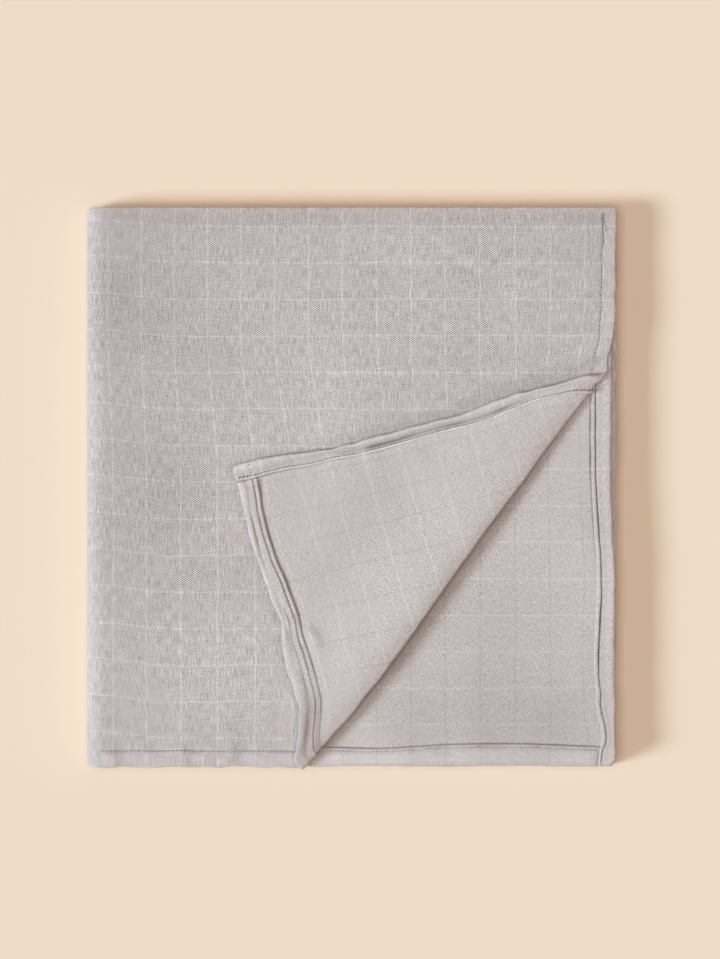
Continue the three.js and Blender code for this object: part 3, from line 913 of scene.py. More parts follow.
def zone_lines(path, zone, hems):
    """Lines across one zone of a path, as places and levels. hems are places and levels that
    stand in for the even lines near them."""
    start, length, name = path.starts[zone], path.lengths[zone], PATH_ZONES[zone]
    if name in FOLD_STEPS:
        count = FOLD_STEPS[name]
        return [(start + length * i / count, COARSE) for i in range(count + 1)]
    count = COARSE_EVERY * round(length / FINE_CELL / COARSE_EVERY)
    lines = []
    for i in range(count + 1):
        place = start + length * i / count
        level = COARSE if i % COARSE_EVERY == 0 else MEDIUM if i % MEDIUM_EVERY == 0 else FINE
        at_end = i in (0, count)
        if at_end or all(abs(place - hem_place) > HEM_CLEARANCE for hem_place, _ in hems):
            lines.append((place, level))
    low, high = start + NET_TOLERANCE, start + length - NET_TOLERANCE
    return sorted(lines + [line for line in hems if low < line[0] < high])


def hem_lines(sewn, *profiles):
    """Lines that give a hem its round edge and its sections."""
    edge = [(distance, COARSE) for distance in HEM_EDGE_LINES]
    places = {share * sewn for profile in profiles for share, _ in profile}
    places = sorted(place for place in places if place > HEM_LINES_START)
    section = places[:1]
    for place in places[1:]:
        parts = max(1, round((place - section[-1]) / HEM_LINE_STEP))
        if place - section[-1] > HEM_LINES_APART:
            section += np.linspace(section[-1], place, parts + 1)[1:].tolist()
    return edge + [(place, MEDIUM) for place in section]


def net_level(zone_u, zone_v):
    """Fineness of the net: finest where the cloth shows, and coarse inside the pile."""
    across, along = PATH_ZONES[zone_u], PATH_ZONES[zone_v]
    if across == "first":
        return {"first": FINE, "outer": FINE, "fourth": MEDIUM}.get(along, COARSE)
    return MEDIUM if across == "outer" else COARSE


def flat_cells(shape):
    """Corners and cells of the net over the flat cloth. Where a finer zone meets a coarser
    one, the coarser cell takes the finer one's corners along the border."""
    width, length = shape.width_path, shape.length_path
    near_u = hem_lines(shape.side_hem, TURNED_SIDE_PROFILE, UNDER_SIDE_PROFILE)
    far_u = hem_lines(shape.side_hem, UNDER_SIDE_PROFILE)
    far_v = hem_lines(shape.end_hem, FOOT_HEM_PROFILE)
    hems_u = near_u + [(shape.flat_width - place, level) for place, level in far_u]
    hems_v = hem_lines(shape.end_hem, END_HEM_PROFILE)
    hems_v += [(shape.flat_length - place, level) for place, level in far_v]
    zones = range(len(PATH_ZONES))
    lines_u = [zone_lines(width, zone, hems_u) for zone in zones]
    lines_v = [zone_lines(length, zone, hems_v) for zone in zones]
    corners, cells = {}, []

    def number(corner):
        key = (round(corner[0], 4), round(corner[1], 4))
        return corners.setdefault(key, len(corners))

    def kept(lines, level):
        return [place for place, line_level in lines if line_level >= level]

    def border(lines, level, zone_u, zone_v):
        inside = zone_u in zones and zone_v in zones
        return kept(lines, min(level, net_level(zone_u, zone_v)) if inside else level)

    for i in zones:
        for k in zones:
            level = net_level(i, k)
            us, vs = kept(lines_u[i], level), kept(lines_v[k], level)
            low = border(lines_u[i], level, i, k - 1)
            high = border(lines_u[i], level, i, k + 1)
            left = border(lines_v[k], level, i - 1, k)
            right = border(lines_v[k], level, i + 1, k)
            for u0, u1 in zip(us, us[1:]):
                for v0, v1 in zip(vs, vs[1:]):
                    below = low if v0 == vs[0] else ()
                    above = high if v1 == vs[-1] else ()
                    before = left if u0 == us[0] else ()
                    after = right if u1 == us[-1] else ()
                    loop = [(u0, v0)] + [(u, v0) for u in below if u0 < u < u1]
                    loop += [(u1, v0)] + [(u1, v) for v in after if v0 < v < v1]
                    loop += [(u1, v1)] + [(u, v1) for u in reversed(above) if u0 < u < u1]
                    loop += [(u0, v1)] + [(u0, v) for v in reversed(before) if v0 < v < v1]
                    cells.append([number(corner) for corner in loop])
    return list(corners), cells


def cut_round_roll(net, shape):
    """Cuts the flat net along lines that run round the roll of the turned corner."""
    line_count = int((shape.roll_length + ROLL_LINES_PAST) / ROLL_LINE_STEP)
    last = line_count * ROLL_LINE_STEP
    normal = (-shape.turned_normal[0], shape.turned_normal[1], 0.0)

    def in_band(face):
        if not all(shape.in_top(vert.co.x, vert.co.y) for vert in face.verts):
            return False
        pasts = [shape.top_from_roll(vert.co.x, vert.co.y)[0] for vert in face.verts]
        return max(pasts) > 0.0 and min(pasts) < last

    band = [face for face in net.faces if in_band(face)]
    for i in range(line_count + 1):
        x, y = shape.at_roll(i * ROLL_LINE_STEP, 0.0)
        edges = {edge for face in band for edge in face.edges}
        verts = {vert for face in band for vert in face.verts}
        cut = bmesh.ops.bisect_plane(
            net,
            geom=[*band, *edges, *verts],
            dist=ROLL_MERGE,
            plane_co=(shape.half_width - x, y + shape.half_length, 0.0),
            plane_no=normal,
        )
        band = [item for item in cut["geom"] if isinstance(item, bmesh.types.BMFace)]
    many_sided = [face for face in net.faces if len(face.verts) > 4]
    bmesh.ops.triangulate(net, faces=many_sided)


def flat_mesh(shape):
    """The net over the flat cloth, as arrays of u and v and a list of cells."""
    corners, cells = flat_cells(shape)
    net = bmesh.new()
    verts = [net.verts.new((u, v, 0.0)) for u, v in corners]
    for cell in cells:
        net.faces.new([verts[i] for i in cell])
    cut_round_roll(net, shape)
    net.verts.index_update()
    places = np.array([vert.co[:2] for vert in net.verts])
    cells = [[vert.index for vert in face.verts] for face in net.faces]
    net.free()
    return places[:, 0], places[:, 1], cells


# How far the threads drift from straight: the warp bulges over the top layer and slants over
# its lower part, more in the middle, and the weft is drawn near the fold between the packs.
WARP_BULGE = 3.0
WARP_BULGE_WIDTH = 290.0
WARP_SLANT = 2.7
WARP_SLANT_ENDS = (235.0, 160.0)
MORE_SLANT = 5.9
MORE_SLANT_STARTS = (90.0, 150.0)
MORE_SLANT_ENDS = (250.0, 175.0)
WEFT_DRAW = 3.8
WEFT_DRAW_STARTS = (236.0, 286.0)


def ease_between(ends, at):
    """Smooth step from 0 at the first end to 1 at the second."""
    return ease((at - ends[0]) / (ends[1] - ends[0]))


def drawn_weave(u, v):
    """Place in the weave of each point of the cloth, in metres. The threads drift a little
    from straight, as the woven check shows."""
    bulge = WARP_BULGE * np.sin(math.pi * np.clip(u / WARP_BULGE_WIDTH, 0.0, 1.0))
    more = MORE_SLANT * ease_between(MORE_SLANT_ENDS, u) * ease_between(MORE_SLANT_STARTS, u)
    slant = ease_between(WARP_SLANT_ENDS, v) * (WARP_SLANT + more)
    warp = u - bulge + slant + sheet_noise(WARP_RIPPLE, u, v)
    weft = v - WEFT_DRAW * ease_between(WEFT_DRAW_STARTS, u) + sheet_noise(WEFT_RIPPLE, u, v)
    return warp * MM, weft * MM


def new_object(name, points, faces, materials):
    """A smooth mesh object at the origin, from points in millimetres."""
    mesh = bpy.data.meshes.new(name)
    mesh.from_pydata((np.asarray(points) * MM).tolist(), [], faces)
    mesh.shade_smooth()
    for material in materials:
        mesh.materials.append(material)
    piece = bpy.data.objects.new(name, mesh)
    bpy.context.scene.collection.objects.link(piece)
    return piece


def build_cloth(shape, materials):
    """The whole cloth as one closed shell: its face, its reverse and its round edges."""
    u, v, cells = flat_mesh(shape)
    count = len(u)
    face_height, reverse_height = shape.skins(u, v)
    points = np.concatenate((shape.place(u, v, face_height), shape.place(u, v, reverse_height)))
    on_rim = (u < RIM_TOLERANCE) | (u > shape.flat_width - RIM_TOLERANCE)
    on_rim |= (v < RIM_TOLERANCE) | (v > shape.flat_length - RIM_TOLERANCE)
    reverse_number = np.where(on_rim, np.arange(count), np.arange(count) + count)
    faces = [list(reversed(cell)) for cell in cells]
    faces += [reverse_number[cell].tolist() for cell in cells]
    used = np.unique(np.concatenate([np.array(face) for face in faces]))
    renumber = np.zeros(2 * count, int)
    renumber[used] = np.arange(len(used))
    faces = [renumber[face].tolist() for face in faces]
    cloth = new_object("muslin_cloth", points[used], faces, materials)
    sides = np.repeat((0, 1), len(cells)).astype(np.int32)
    cloth.data.polygons.foreach_set("material_index", sides)
    weave_u, weave_v = drawn_weave(u, v)
    weave = np.column_stack((np.tile(weave_u, 2), np.tile(weave_v, 2)))[used]
    corner_points = np.zeros(len(cloth.data.loops), np.int32)
    cloth.data.loops.foreach_get("vertex_index", corner_points)
    layer = cloth.data.uv_layers.new(name="weave")
    layer.data.foreach_set("uv", weave[corner_points].ravel())
    # The tone attribute holds the cloth's random tone together with painted light and shade.
    tones = np.concatenate((shape.tone(u, v, reverse=False), shape.tone(u, v, reverse=True)))
    attribute = cloth.data.attributes.new("tone", "FLOAT", "POINT")
    attribute.data.foreach_set("value", tones[used])
    return cloth


# Rows of stitches, on the face or on the reverse. Each row runs from start to end in u and v, in
# millimetres on the flat cloth. sunk: how deep they sink into the cloth at most, as a share of
# the thread's thickness.
StitchRow = namedtuple("StitchRow", "side start end sunk")
FACE, REVERSE = 1, -1

# The stitches lie higher in the flap's tip, as far as TIP_LENGTH, and along its end hem from
# HIGHER_FROM on. An end seam starts a little past the side seam. LOWER_STITCHES: Y of the ends of
# the stitches that show on the edge of a lower layer.
TIP_LENGTH = 22.0
HIGHER_FROM = 85.0
PAST_SIDE_SEAM = 3.0
LOWER_STITCHES = (34.0, 66.0)


def stitch_rows(shape):
    """The rows of stitches that show: along the hems of the top layer, on its face and on its
    turned corner, along the hems that it uncovers, and over the hem's ends."""
    side, end = shape.side_hem, shape.end_hem
    fold_u = shape.half_width - TURNED_FOOT[0]
    fold_v = TURNED_SIDE[1] + shape.half_length
    last_u = shape.pack_length
    last_v = shape.layer_length
    foot = shape.flat_length - end
    uncovered_v = shape.flat_length - fold_v
    end_start = side + PAST_SIDE_SEAM
    lower = [shape.length_path.distance_in("third", y) for y in LOWER_STITCHES]
    top = (
        StitchRow(FACE, (side, fold_v + 14.0), (side, last_v), 0.25),
        StitchRow(FACE, (side - 0.5, last_v - 18.0), (side + 0.5, last_v), 0.1),
        StitchRow(FACE, (side - 1.3, last_v - 11.0), (side - 0.4, last_v), 0.1),
        StitchRow(FACE, (fold_u + 5.0, end), (last_u + 4.0, end), 0.5),
    )
    flap = (
        StitchRow(REVERSE, (side, TIP_LENGTH), (side, fold_v + 4.0), 0.5),
        StitchRow(REVERSE, (side, 1.0), (side, TIP_LENGTH), 0.3),
        StitchRow(REVERSE, (0.8, end), (side + 0.6, end), 0.4),
        StitchRow(REVERSE, (end_start, end), (HIGHER_FROM, end), 1.3),
        StitchRow(REVERSE, (HIGHER_FROM, end), (fold_u - 4.0, end), 1.1),
        StitchRow(REVERSE, (side - 0.7, 1.5), (side + 0.3, 16.0), 0.3),
    )
    uncovered = (
        StitchRow(REVERSE, (side, uncovered_v - 2.0), (side, shape.flat_length - 1.0), 0.8),
        StitchRow(REVERSE, (end_start, foot), (fold_u - 2.0, foot), 1.0),
        StitchRow(FACE, (2.5, lower[0]), (2.8, lower[1]), 0.2),
    )
    return top + flap + uncovered


# A stitch is drawn as rings round a short bent thread. It may lie a little along or aside of its
# place, with its own length, slant and depth, and each row sinks and rises slowly.
CAPSULE_SIDES = 6
CAPSULE_RINGS = (-1.0, -0.75, 0.0, 0.75, 1.0)
CAPSULE_END = 0.04
STITCH_HEIGHT = 0.5
STITCH_BEND = 0.7
UNEVEN = {"along": 0.1, "aside": 0.14, "slant": 0.16, "depth": 0.1}
UNEVEN_LENGTH = (0.75, 1.1)
UNEVEN_SEED = 51
SINKING_LENGTH = 5.0
SINKING_ROW_STEP = 3.0
SINKING_SEED = 52


def stitch_mesh(shape, length, pitch, thickness):
    """All the stitches as points and faces: short threads that dip into the cloth at both
    ends, one after the other along their rows."""
    flat_u, flat_v, lift, sides, faces = [], [], [], [], []
    turn = 2.0 * math.pi / CAPSULE_SIDES
    random = np.random.default_rng(UNEVEN_SEED)

    def uneven(kind):
        return random.uniform(-UNEVEN[kind], UNEVEN[kind])

    for row_number, row in enumerate(stitch_rows(shape)):
        start, end = np.array(row.start), np.array(row.end)
        distance = np.linalg.norm(end - start)
        way = (end - start) / distance
        across = np.array([way[1], -way[0]])
        count = int(distance / pitch)
        slice_of_row = np.full(count, row_number * SINKING_ROW_STEP)
        sinking = soft_noise(np.arange(count) / SINKING_LENGTH, slice_of_row, SINKING_SEED)
        for i in range(count):
            middle = start + way * pitch * (i + 0.5 + uneven("along"))
            middle = middle + across * uneven("aside")
            reach = length / 2.0 * random.uniform(*UNEVEN_LENGTH)
            slant = uneven("slant")
            sunk = row.sunk * (1.0 + sinking[i]) / 2.0 + uneven("depth")
            first = len(flat_u)
            for share in CAPSULE_RINGS:
                radius = thickness / 2.0 * math.sqrt(max(CAPSULE_END, 1.0 - share ** 4))
                spine = middle + way * reach * share + across * slant * share
                depth = thickness * (STITCH_HEIGHT - STITCH_BEND * share ** 2 - sunk)
                for side in range(CAPSULE_SIDES):
                    offset = across * math.cos(side * turn) * radius
                    flat_u.append(spine[0] + offset[0])
                    flat_v.append(spine[1] + offset[1])
                    lift.append(depth + math.sin(side * turn) * radius)
                    sides.append(row.side)
            for ring in range(len(CAPSULE_RINGS) - 1):
                low = first + ring * CAPSULE_SIDES
                for side in range(CAPSULE_SIDES):
                    after = (side + 1) % CAPSULE_SIDES
                    high = low + CAPSULE_SIDES
                    faces.append([low + side, low + after, high + after, high + side])
            last = first + (len(CAPSULE_RINGS) - 1) * CAPSULE_SIDES
            faces.append([first + side for side in reversed(range(CAPSULE_SIDES))])
            faces.append([last + side for side in range(CAPSULE_SIDES)])
    flat_u, flat_v, lift, sides = (np.array(values) for values in (flat_u, flat_v, lift, sides))
    face_height, reverse_height = shape.skins(flat_u, flat_v)
    height = np.where(sides == FACE, face_height + lift, reverse_height - lift)
    return shape.place(flat_u, flat_v, height), faces


def build_stitches(shape, settings, material):
    """The sewing thread of the hems, as one piece."""
    points, faces = stitch_mesh(
        shape,
        length=settings.stitch_length / MM,
        pitch=settings.stitch_pitch / MM,
        thickness=settings.thread_thickness / MM,
    )
    stitches = new_object("hem_stitches", points, faces, [material])
    shell = bmesh.new()
    shell.from_mesh(stitches.data)
    bmesh.ops.recalc_face_normals(shell, faces=shell.faces)
    shell.to_mesh(stitches.data)
    shell.free()
    return stitches


class NodeTree:
    """Adds nodes to a node tree, with their inputs given by name."""

    def __init__(self, tree):
        self.tree = tree

    def add(self, kind, inputs=None, **options):
        """A new node with the given options and inputs."""
        node = self.tree.nodes.new(kind)
        for option, value in options.items():
            setattr(node, option, value)
        self.feed(node, inputs or {})
        return node

    def feed(self, node, inputs):
        """Sets the inputs of a node. A value is a socket to link or a constant."""
        for name, value in inputs.items():
            if isinstance(value, bpy.types.NodeSocket):
                self.tree.links.new(value, node.inputs[name])
            else:
                node.inputs[name].default_value = value

    def math(self, operation, first, second=0.0, third=0.0):
        inputs = {0: first, 1: second, 2: third}
        return self.add("ShaderNodeMath", inputs, operation=operation).outputs[0]

    def noise(self, place, detail=2.0):
        inputs = {"Vector": place, "Scale": 1.0, "Detail": detail}
        return self.add("ShaderNodeTexNoise", inputs).outputs["Fac"]

    def centred(self, value):
        """A value about 0 in place of one about a half."""
        return self.math("SUBTRACT", value, 0.5)

    def scaled(self, vector, scale):
        inputs = {0: vector, "Scale": scale}
        return self.add("ShaderNodeVectorMath", inputs, operation="SCALE").outputs[0]

    def vector(self, x, y, z=0.0):
        return self.add("ShaderNodeCombineXYZ", {"X": x, "Y": y, "Z": z}).outputs[0]

    def map_range(self, value, low, high, to_low=0.0, to_high=1.0):
        inputs = {"Value": value, "From Min": low, "From Max": high, "To Min": to_low, "To Max": to_high}
        return self.add("ShaderNodeMapRange", inputs, interpolation_type="SMOOTHSTEP").outputs[0]


def new_material(name):
    """A material, with its node tree and its shader."""
    material = bpy.data.materials.new(name)
    material.use_nodes = True
    return material, NodeTree(material.node_tree), material.node_tree.nodes["Principled BSDF"]


def new_group(name, inputs, outputs):
    """An empty shader node group for a place in the weave, with more numbers to put in and some
    to give out. Also its tree and its input and output nodes."""
    group = bpy.data.node_groups.new(name, "ShaderNodeTree")
    group.interface.new_socket("Place", in_out="INPUT", socket_type="NodeSocketVector")
    for way, sockets in (("INPUT", inputs), ("OUTPUT", outputs)):
        for socket in sockets:
            group.interface.new_socket(socket, in_out=way, socket_type="NodeSocketFloat")
    tree = NodeTree(group)
    return group, tree, tree.add("NodeGroupInput"), tree.add("NodeGroupOutput")


# How often the crossings of the weave beat per thread, across and along. They beat more in some
# patches than in others.
WARP_BEAT = 0.28
WEFT_BEAT = 0.42
PATCHES_PER_METRE = 90.0
PATCH_RANGE = (0.35, 0.62)
PATCH_BEAT = (0.24, 0.5)

# Each kind of yarn is taken from its own slice of the noise, and adds its share to the tone.
WARP_SLICE, WEFT_SLICE, SPECK_SLICE = 3.1, 8.7, 5.0
WARP_SHARE, WEFT_SHARE, SPECK_SHARE = 0.8, 0.35, 1.5
CROSSING_RISE = 0.2


def threads_group():
    """Plain weave of slubby threads. Tone is lighter or darker yarn about 0.5, and Height the
    relief of the threads."""
    group, tree, given, result = new_group(
        "Slubby plain weave", ["Thread pitch", "Slub length"], ["Tone", "Height"]
    )
    parts = tree.add("ShaderNodeSeparateXYZ", {"Vector": given.outputs["Place"]})
    across, along = parts.outputs["X"], parts.outputs["Y"]
    pitch, slub = given.outputs["Thread pitch"], given.outputs["Slub length"]
    thread = tree.math("DIVIDE", across, pitch)
    pick = tree.math("DIVIDE", along, pitch)
    warp = tree.noise(tree.vector(thread, tree.math("DIVIDE", along, slub), WARP_SLICE), 1.0)
    weft = tree.noise(tree.vector(tree.math("DIVIDE", across, slub), pick, WEFT_SLICE), 1.0)
    speck = tree.noise(tree.vector(thread, pick, SPECK_SLICE), 1.0)
    patch = tree.noise(tree.scaled(tree.vector(across, along), PATCHES_PER_METRE))
    over = tree.math("SINE", tree.math("MULTIPLY", thread, math.tau * WARP_BEAT))
    under = tree.math("SINE", tree.math("MULTIPLY", pick, math.tau * WEFT_BEAT))
    crossing = tree.math("MULTIPLY", over, under)
    yarn = tree.math("MULTIPLY", crossing, tree.map_range(patch, *PATCH_RANGE, *PATCH_BEAT))
    yarn = tree.math("MULTIPLY_ADD", tree.centred(warp), WARP_SHARE, yarn)
    yarn = tree.math("MULTIPLY_ADD", tree.centred(weft), WEFT_SHARE, yarn)
    tone = tree.math("MULTIPLY_ADD", tree.centred(speck), SPECK_SHARE, tree.math("ADD", yarn, 0.5))
    height = tree.math("MULTIPLY_ADD", crossing, CROSSING_RISE, tone)
    tree.feed(result, {"Tone": tone, "Height": height})
    return group


# The thick yarns start at these places in the weave, in metres. They waver a little from side to
# side and are worn in places, and each takes its own slice of the noise. The last number of a row
# is the share of a yarn's width over which it fades.
FIRST_WARP = 0.0162
FIRST_WEFT = 0.0156
YARN_REACHES = (("Warp", "X", "Y", 0.75), ("Weft", "Y", "X", 0.9))
WAVERS_PER_METRE = 60.0
WAVER_SLICE = 3.7
WAVER_WIDTH = 0.0016
WEAR_PER_METRE = 260.0
WEAR_SLICE = 4.0
WEAR_RANGE = (0.3, 0.62)
WORN_TO = 0.45


def check_group():
    """Thicker yarns woven in at even distances. Warp and Weft are 1 on such a yarn."""
    group, tree, given, result = new_group(
        "Woven check",
        ["Warp spacing", "First warp", "Weft spacing", "First weft", "Yarn width"],
        ["Warp", "Weft"],
    )
    parts = tree.add("ShaderNodeSeparateXYZ", {"Vector": given.outputs["Place"]})
    yarn_width = given.outputs["Yarn width"]
    for name, crosswise, lengthwise, reach in YARN_REACHES:
        spacing = given.outputs[f"{name} spacing"]
        first = given.outputs[f"First {name.lower()}"]
        count = tree.math("DIVIDE", tree.math("SUBTRACT", parts.outputs[crosswise], first), spacing)
        number = tree.math("ROUND", count)
        along = tree.math("MULTIPLY", parts.outputs[lengthwise], WAVERS_PER_METRE)
        waver = tree.noise(tree.vector(along, tree.math("MULTIPLY", number, WAVER_SLICE)))
        waver = tree.math("MULTIPLY", tree.centred(waver), WAVER_WIDTH)
        offset = tree.math("MULTIPLY", tree.math("SUBTRACT", count, number), spacing)
        distance = tree.math("ABSOLUTE", tree.math("ADD", offset, waver))
        line = tree.map_range(distance, 0.0, tree.math("MULTIPLY", yarn_width, reach), 1.0, 0.0)
        along = tree.math("MULTIPLY", parts.outputs[lengthwise], WEAR_PER_METRE)
        wear = tree.noise(tree.vector(along, number, WEAR_SLICE))
        worn = tree.map_range(wear, *WEAR_RANGE, WORN_TO, 1.0)
        tree.feed(result, {name: tree.math("MULTIPLY", line, worn)})
    return group


# A side of the cloth: how much lighter its thick yarns look, how strong its grain is and how
# long its slubs are, as a share of the setting.
MuslinSide = namedtuple("MuslinSide", "name colour warp_gain weft_gain grain slub")
FACE_LOOK = (0.24, 0.19, 1.3, 1.0)
REVERSE_LOOK = (-0.13, 0.14, 0.95, 0.35)

# The mottle and the surface of the cloth.


MOTTLES_PER_METRE = 22.0
MOTTLE_DETAIL = 3.0
MOTTLE_RANGE = (0.25, 0.75)
MOTTLE_TONES = (0.975, 1.025)
CHECK_RISE = 0.6
MUSLIN_BUMP = {"Strength": 0.35, "Distance": 0.00022}
MUSLIN_SURFACE = {
    "Roughness": 0.95, "Specular IOR Level": 0.12, "Sheen Weight": 0.04, "Sheen Roughness": 0.6,
}


def muslin_material(side, settings, threads, check):
    """Undyed-looking soft grey muslin, seen on its face or on its reverse."""
    material, tree, shader = new_material(side.name)
    place = tree.add("ShaderNodeUVMap", uv_map="weave").outputs["UV"]
    weave_inputs = {
        "Place": place,
        "Thread pitch": settings.thread_pitch,
        "Slub length": settings.slub_length * side.slub,
    }
    yarn_inputs = {
        "Place": place,
        "Warp spacing": settings.check_across,
        "First warp": FIRST_WARP,
        "Weft spacing": settings.check_along,
        "First weft": FIRST_WEFT,
        "Yarn width": settings.check_yarn,
    }
    weave = tree.add("ShaderNodeGroup", weave_inputs, node_tree=threads).outputs
    yarns = tree.add("ShaderNodeGroup", yarn_inputs, node_tree=check).outputs
    grain = tree.math("MULTIPLY_ADD", tree.centred(weave["Tone"]), side.grain, 1.0)
    lines = tree.math("MULTIPLY", yarns["Warp"], side.warp_gain)
    lines = tree.math("MULTIPLY_ADD", yarns["Weft"], side.weft_gain, lines)
    mottle = tree.noise(tree.scaled(place, MOTTLES_PER_METRE), MOTTLE_DETAIL)
    mottle = tree.map_range(mottle, *MOTTLE_RANGE, *MOTTLE_TONES)
    factor = tree.math("MULTIPLY", tree.math("ADD", grain, lines), mottle)
    # The tone attribute brings painted light and shade into the colour, along with the cloth's random
    # tone.
    tone = tree.add("ShaderNodeAttribute", attribute_name="tone").outputs["Fac"]
    factor = tree.math("MULTIPLY", factor, tone)
    raised = tree.math("ADD", yarns["Warp"], yarns["Weft"])
    height = tree.math("MULTIPLY_ADD", raised, CHECK_RISE, weave["Height"])
    bump = tree.add("ShaderNodeBump", {"Height": height, **MUSLIN_BUMP})
    look = {"Base Color": tree.scaled(side.colour, factor), "Normal": bump.outputs["Normal"]}
    tree.feed(shader, look | MUSLIN_SURFACE)
    return material


TWISTS_PER_METRE = 1500.0
TWIST_RANGE = (0.3, 0.7)
TWIST_TONES = (0.75, 1.25)
THREAD_BUMP = {"Strength": 0.4, "Distance": 0.0001}
THREAD_SURFACE = {"Roughness": 0.8, "Specular IOR Level": 0.2}


def thread_material(settings):
    """Twisted sewing thread, a little bluer and darker than the cloth; part of its darkness is painted
    shade of the needle holes.
    """
    material, tree, shader = new_material("sewing_thread")
    place = tree.add("ShaderNodeTexCoord").outputs["Object"]
    twist = tree.noise(tree.scaled(place, TWISTS_PER_METRE))
    factor = tree.map_range(twist, *TWIST_RANGE, *TWIST_TONES)
    bump = tree.add("ShaderNodeBump", {"Height": twist, **THREAD_BUMP})
    colour = tree.scaled(settings.thread_colour, factor)
    tree.feed(shader, {"Base Color": colour, "Normal": bump.outputs["Normal"], **THREAD_SURFACE})
    return material


def length_setting(name, description, default):
    return FloatProperty(name=name, description=description, default=default, unit="LENGTH", precision=5)


def colour_setting(name, description, default):
    return FloatVectorProperty(
        name=name, description=description, default=default, subtype="COLOR", min=0.0, max=1.0
    )


class MuslinClothSettings(bpy.types.PropertyGroup):
    """Sizes and colours of the cloth."""

    folded_width: length_setting(
        "Folded width", "Width of the folded blanket", blanket_high[0] - blanket_low[0]
    )
    folded_length: length_setting("Folded length", "Length of the folded blanket", 2.0 * blanket_high[1])
    layer_pitch: length_setting("Layer pitch", "Height that each layer takes up in the pile", 0.0013)
    thickness: length_setting("Cloth thickness", "Thickness of a single layer", 0.0007)
    corner_roll: length_setting("Corner roll", "Radius of the fold of the turned corner", 0.0013)
    side_hem: length_setting("Side hem", "Distance from the side edge to its seam", 0.0074)
    end_hem: length_setting("End hem", "Distance from the end edge to its seam", 0.0088)
    hem_height: length_setting("Hem height", "How far a free hem stands out on the reverse", 0.0016)
    face_colour: colour_setting("Face", "Mean colour of the face", (0.524, 0.478, 0.472))
    reverse_colour: colour_setting("Reverse", "Mean colour of the reverse", (0.566, 0.52, 0.51))
    thread_pitch: length_setting("Thread pitch", "Distance between two threads", 0.00045)
    slub_length: length_setting("Slub length", "Length over which a thread changes", 0.006)
    check_across: length_setting("Check across", "Distance between the thick warp yarns", 0.0184)
    check_along: length_setting("Check along", "Distance between the thick weft yarns", 0.01975)
    check_yarn: length_setting("Check yarn", "Width of a thick yarn", 0.0009)


class MuslinSewingSettings(bpy.types.PropertyGroup):
    """Sizes and colour of the stitches."""

    stitch_pitch: length_setting("Stitch pitch", "Distance from one stitch to the next", 0.0021)
    stitch_length: length_setting("Stitch length", "Length of thread that shows", 0.0012)
    thread_thickness: length_setting("Thread thickness", "Thickness of the thread", 0.00046)
    # The thread's dark colour is partly its own and partly painted shade of the needle holes.
    thread_colour: colour_setting("Thread", "Colour of the thread", (0.12, 0.11, 0.155))


class MuslinStageSettings(bpy.types.PropertyGroup):
    """Floor, lights and camera."""

    floor_colour: colour_setting("Floor", "Colour of the floor", (0.855, 0.716, 0.578))
    key_colour: colour_setting("Key light", "Share of the floor's light", (0.303, 0.396, 0.461))
    fill_colour: colour_setting("Fill light", "Share of the floor's light", (0.697, 0.604, 0.539))
    world_share: FloatProperty(
        name="Surrounding share", description="Share of the fill that comes from all round", default=0.3
    )
    key_softness: FloatProperty(
        name="Key softness", description="Angle that the key light spans", default=math.radians(18.0),
        subtype="ANGLE",
    )
    camera_height: length_setting("Camera height", "Height of the camera over the pile", 3.0)


class MUSLIN_OT_fold_cloth(bpy.types.Operator):
    """Makes the folded cloth with its hems and its turned corner"""

    bl_idname = "muslin.fold_cloth"
    bl_label = "Fold the cloth"
    bl_options = {"REGISTER", "UNDO"}

    def execute(self, context):
        settings = context.scene.muslin_cloth
        shape = BlanketShape(settings)
        threads, check = threads_group(), check_group()
        sides = (
            MuslinSide("muslin_face", settings.face_colour[:], *FACE_LOOK),
            MuslinSide("muslin_reverse", settings.reverse_colour[:], *REVERSE_LOOK),
        )
        materials = [muslin_material(side, settings, threads, check) for side in sides]
        cloth = build_cloth(shape, materials)
        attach(cloth, "root")
        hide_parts("blanket")
        return {"FINISHED"}


class MUSLIN_OT_sew_hems(bpy.types.Operator):
    """Sews the hems that show"""

    bl_idname = "muslin.sew_hems"
    bl_label = "Sew the hems"
    bl_options = {"REGISTER", "UNDO"}

    def execute(self, context):
        cloth = bpy.data.objects.get("muslin_cloth")
        if cloth is None:
            raise RuntimeError("fold the cloth before its hems are sewn")
        shape = BlanketShape(context.scene.muslin_cloth)
        sewing = context.scene.muslin_sewing
        stitches = build_stitches(shape, sewing, thread_material(sewing))
        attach(stitches, "root")
        return {"FINISHED"}


# The part of the stage that the picture takes in, in millimetres, and where its middle lies.
PICTURE_LENGTH = 516.9
PICTURE_MIDDLE = (4.6, 4.0)
SENSOR = 36.0
KEY_TRAVEL = (27.0, 8.0, -20.0)
FILL_TRAVEL = (0.06, 0.06, -1.0)
FILL_SOFTNESS = math.radians(34.0)
FLOOR_SIZE = 8.0
FLOOR_SURFACE = {"Roughness": 1.0, "Specular IOR Level": 0.0}
VIEW_REACH = 20.0


def add_sun(name, travel, share, angle):
    """A distant light that gives the floor the given share of its light."""
    travel = np.array(travel) / np.linalg.norm(travel)
    light = bpy.data.lights.new(name, "SUN")
    strongest = max(share)
    light.color = [part / strongest for part in share]
    light.energy = strongest * math.pi / -travel[2]
    light.angle = angle
    lamp = bpy.data.objects.new(name, light)
    bpy.context.scene.collection.objects.link(lamp)
    away = -travel
    lamp.rotation_euler = (math.acos(away[2]), 0.0, math.atan2(away[1], away[0]) + math.pi / 2.0)
    return lamp


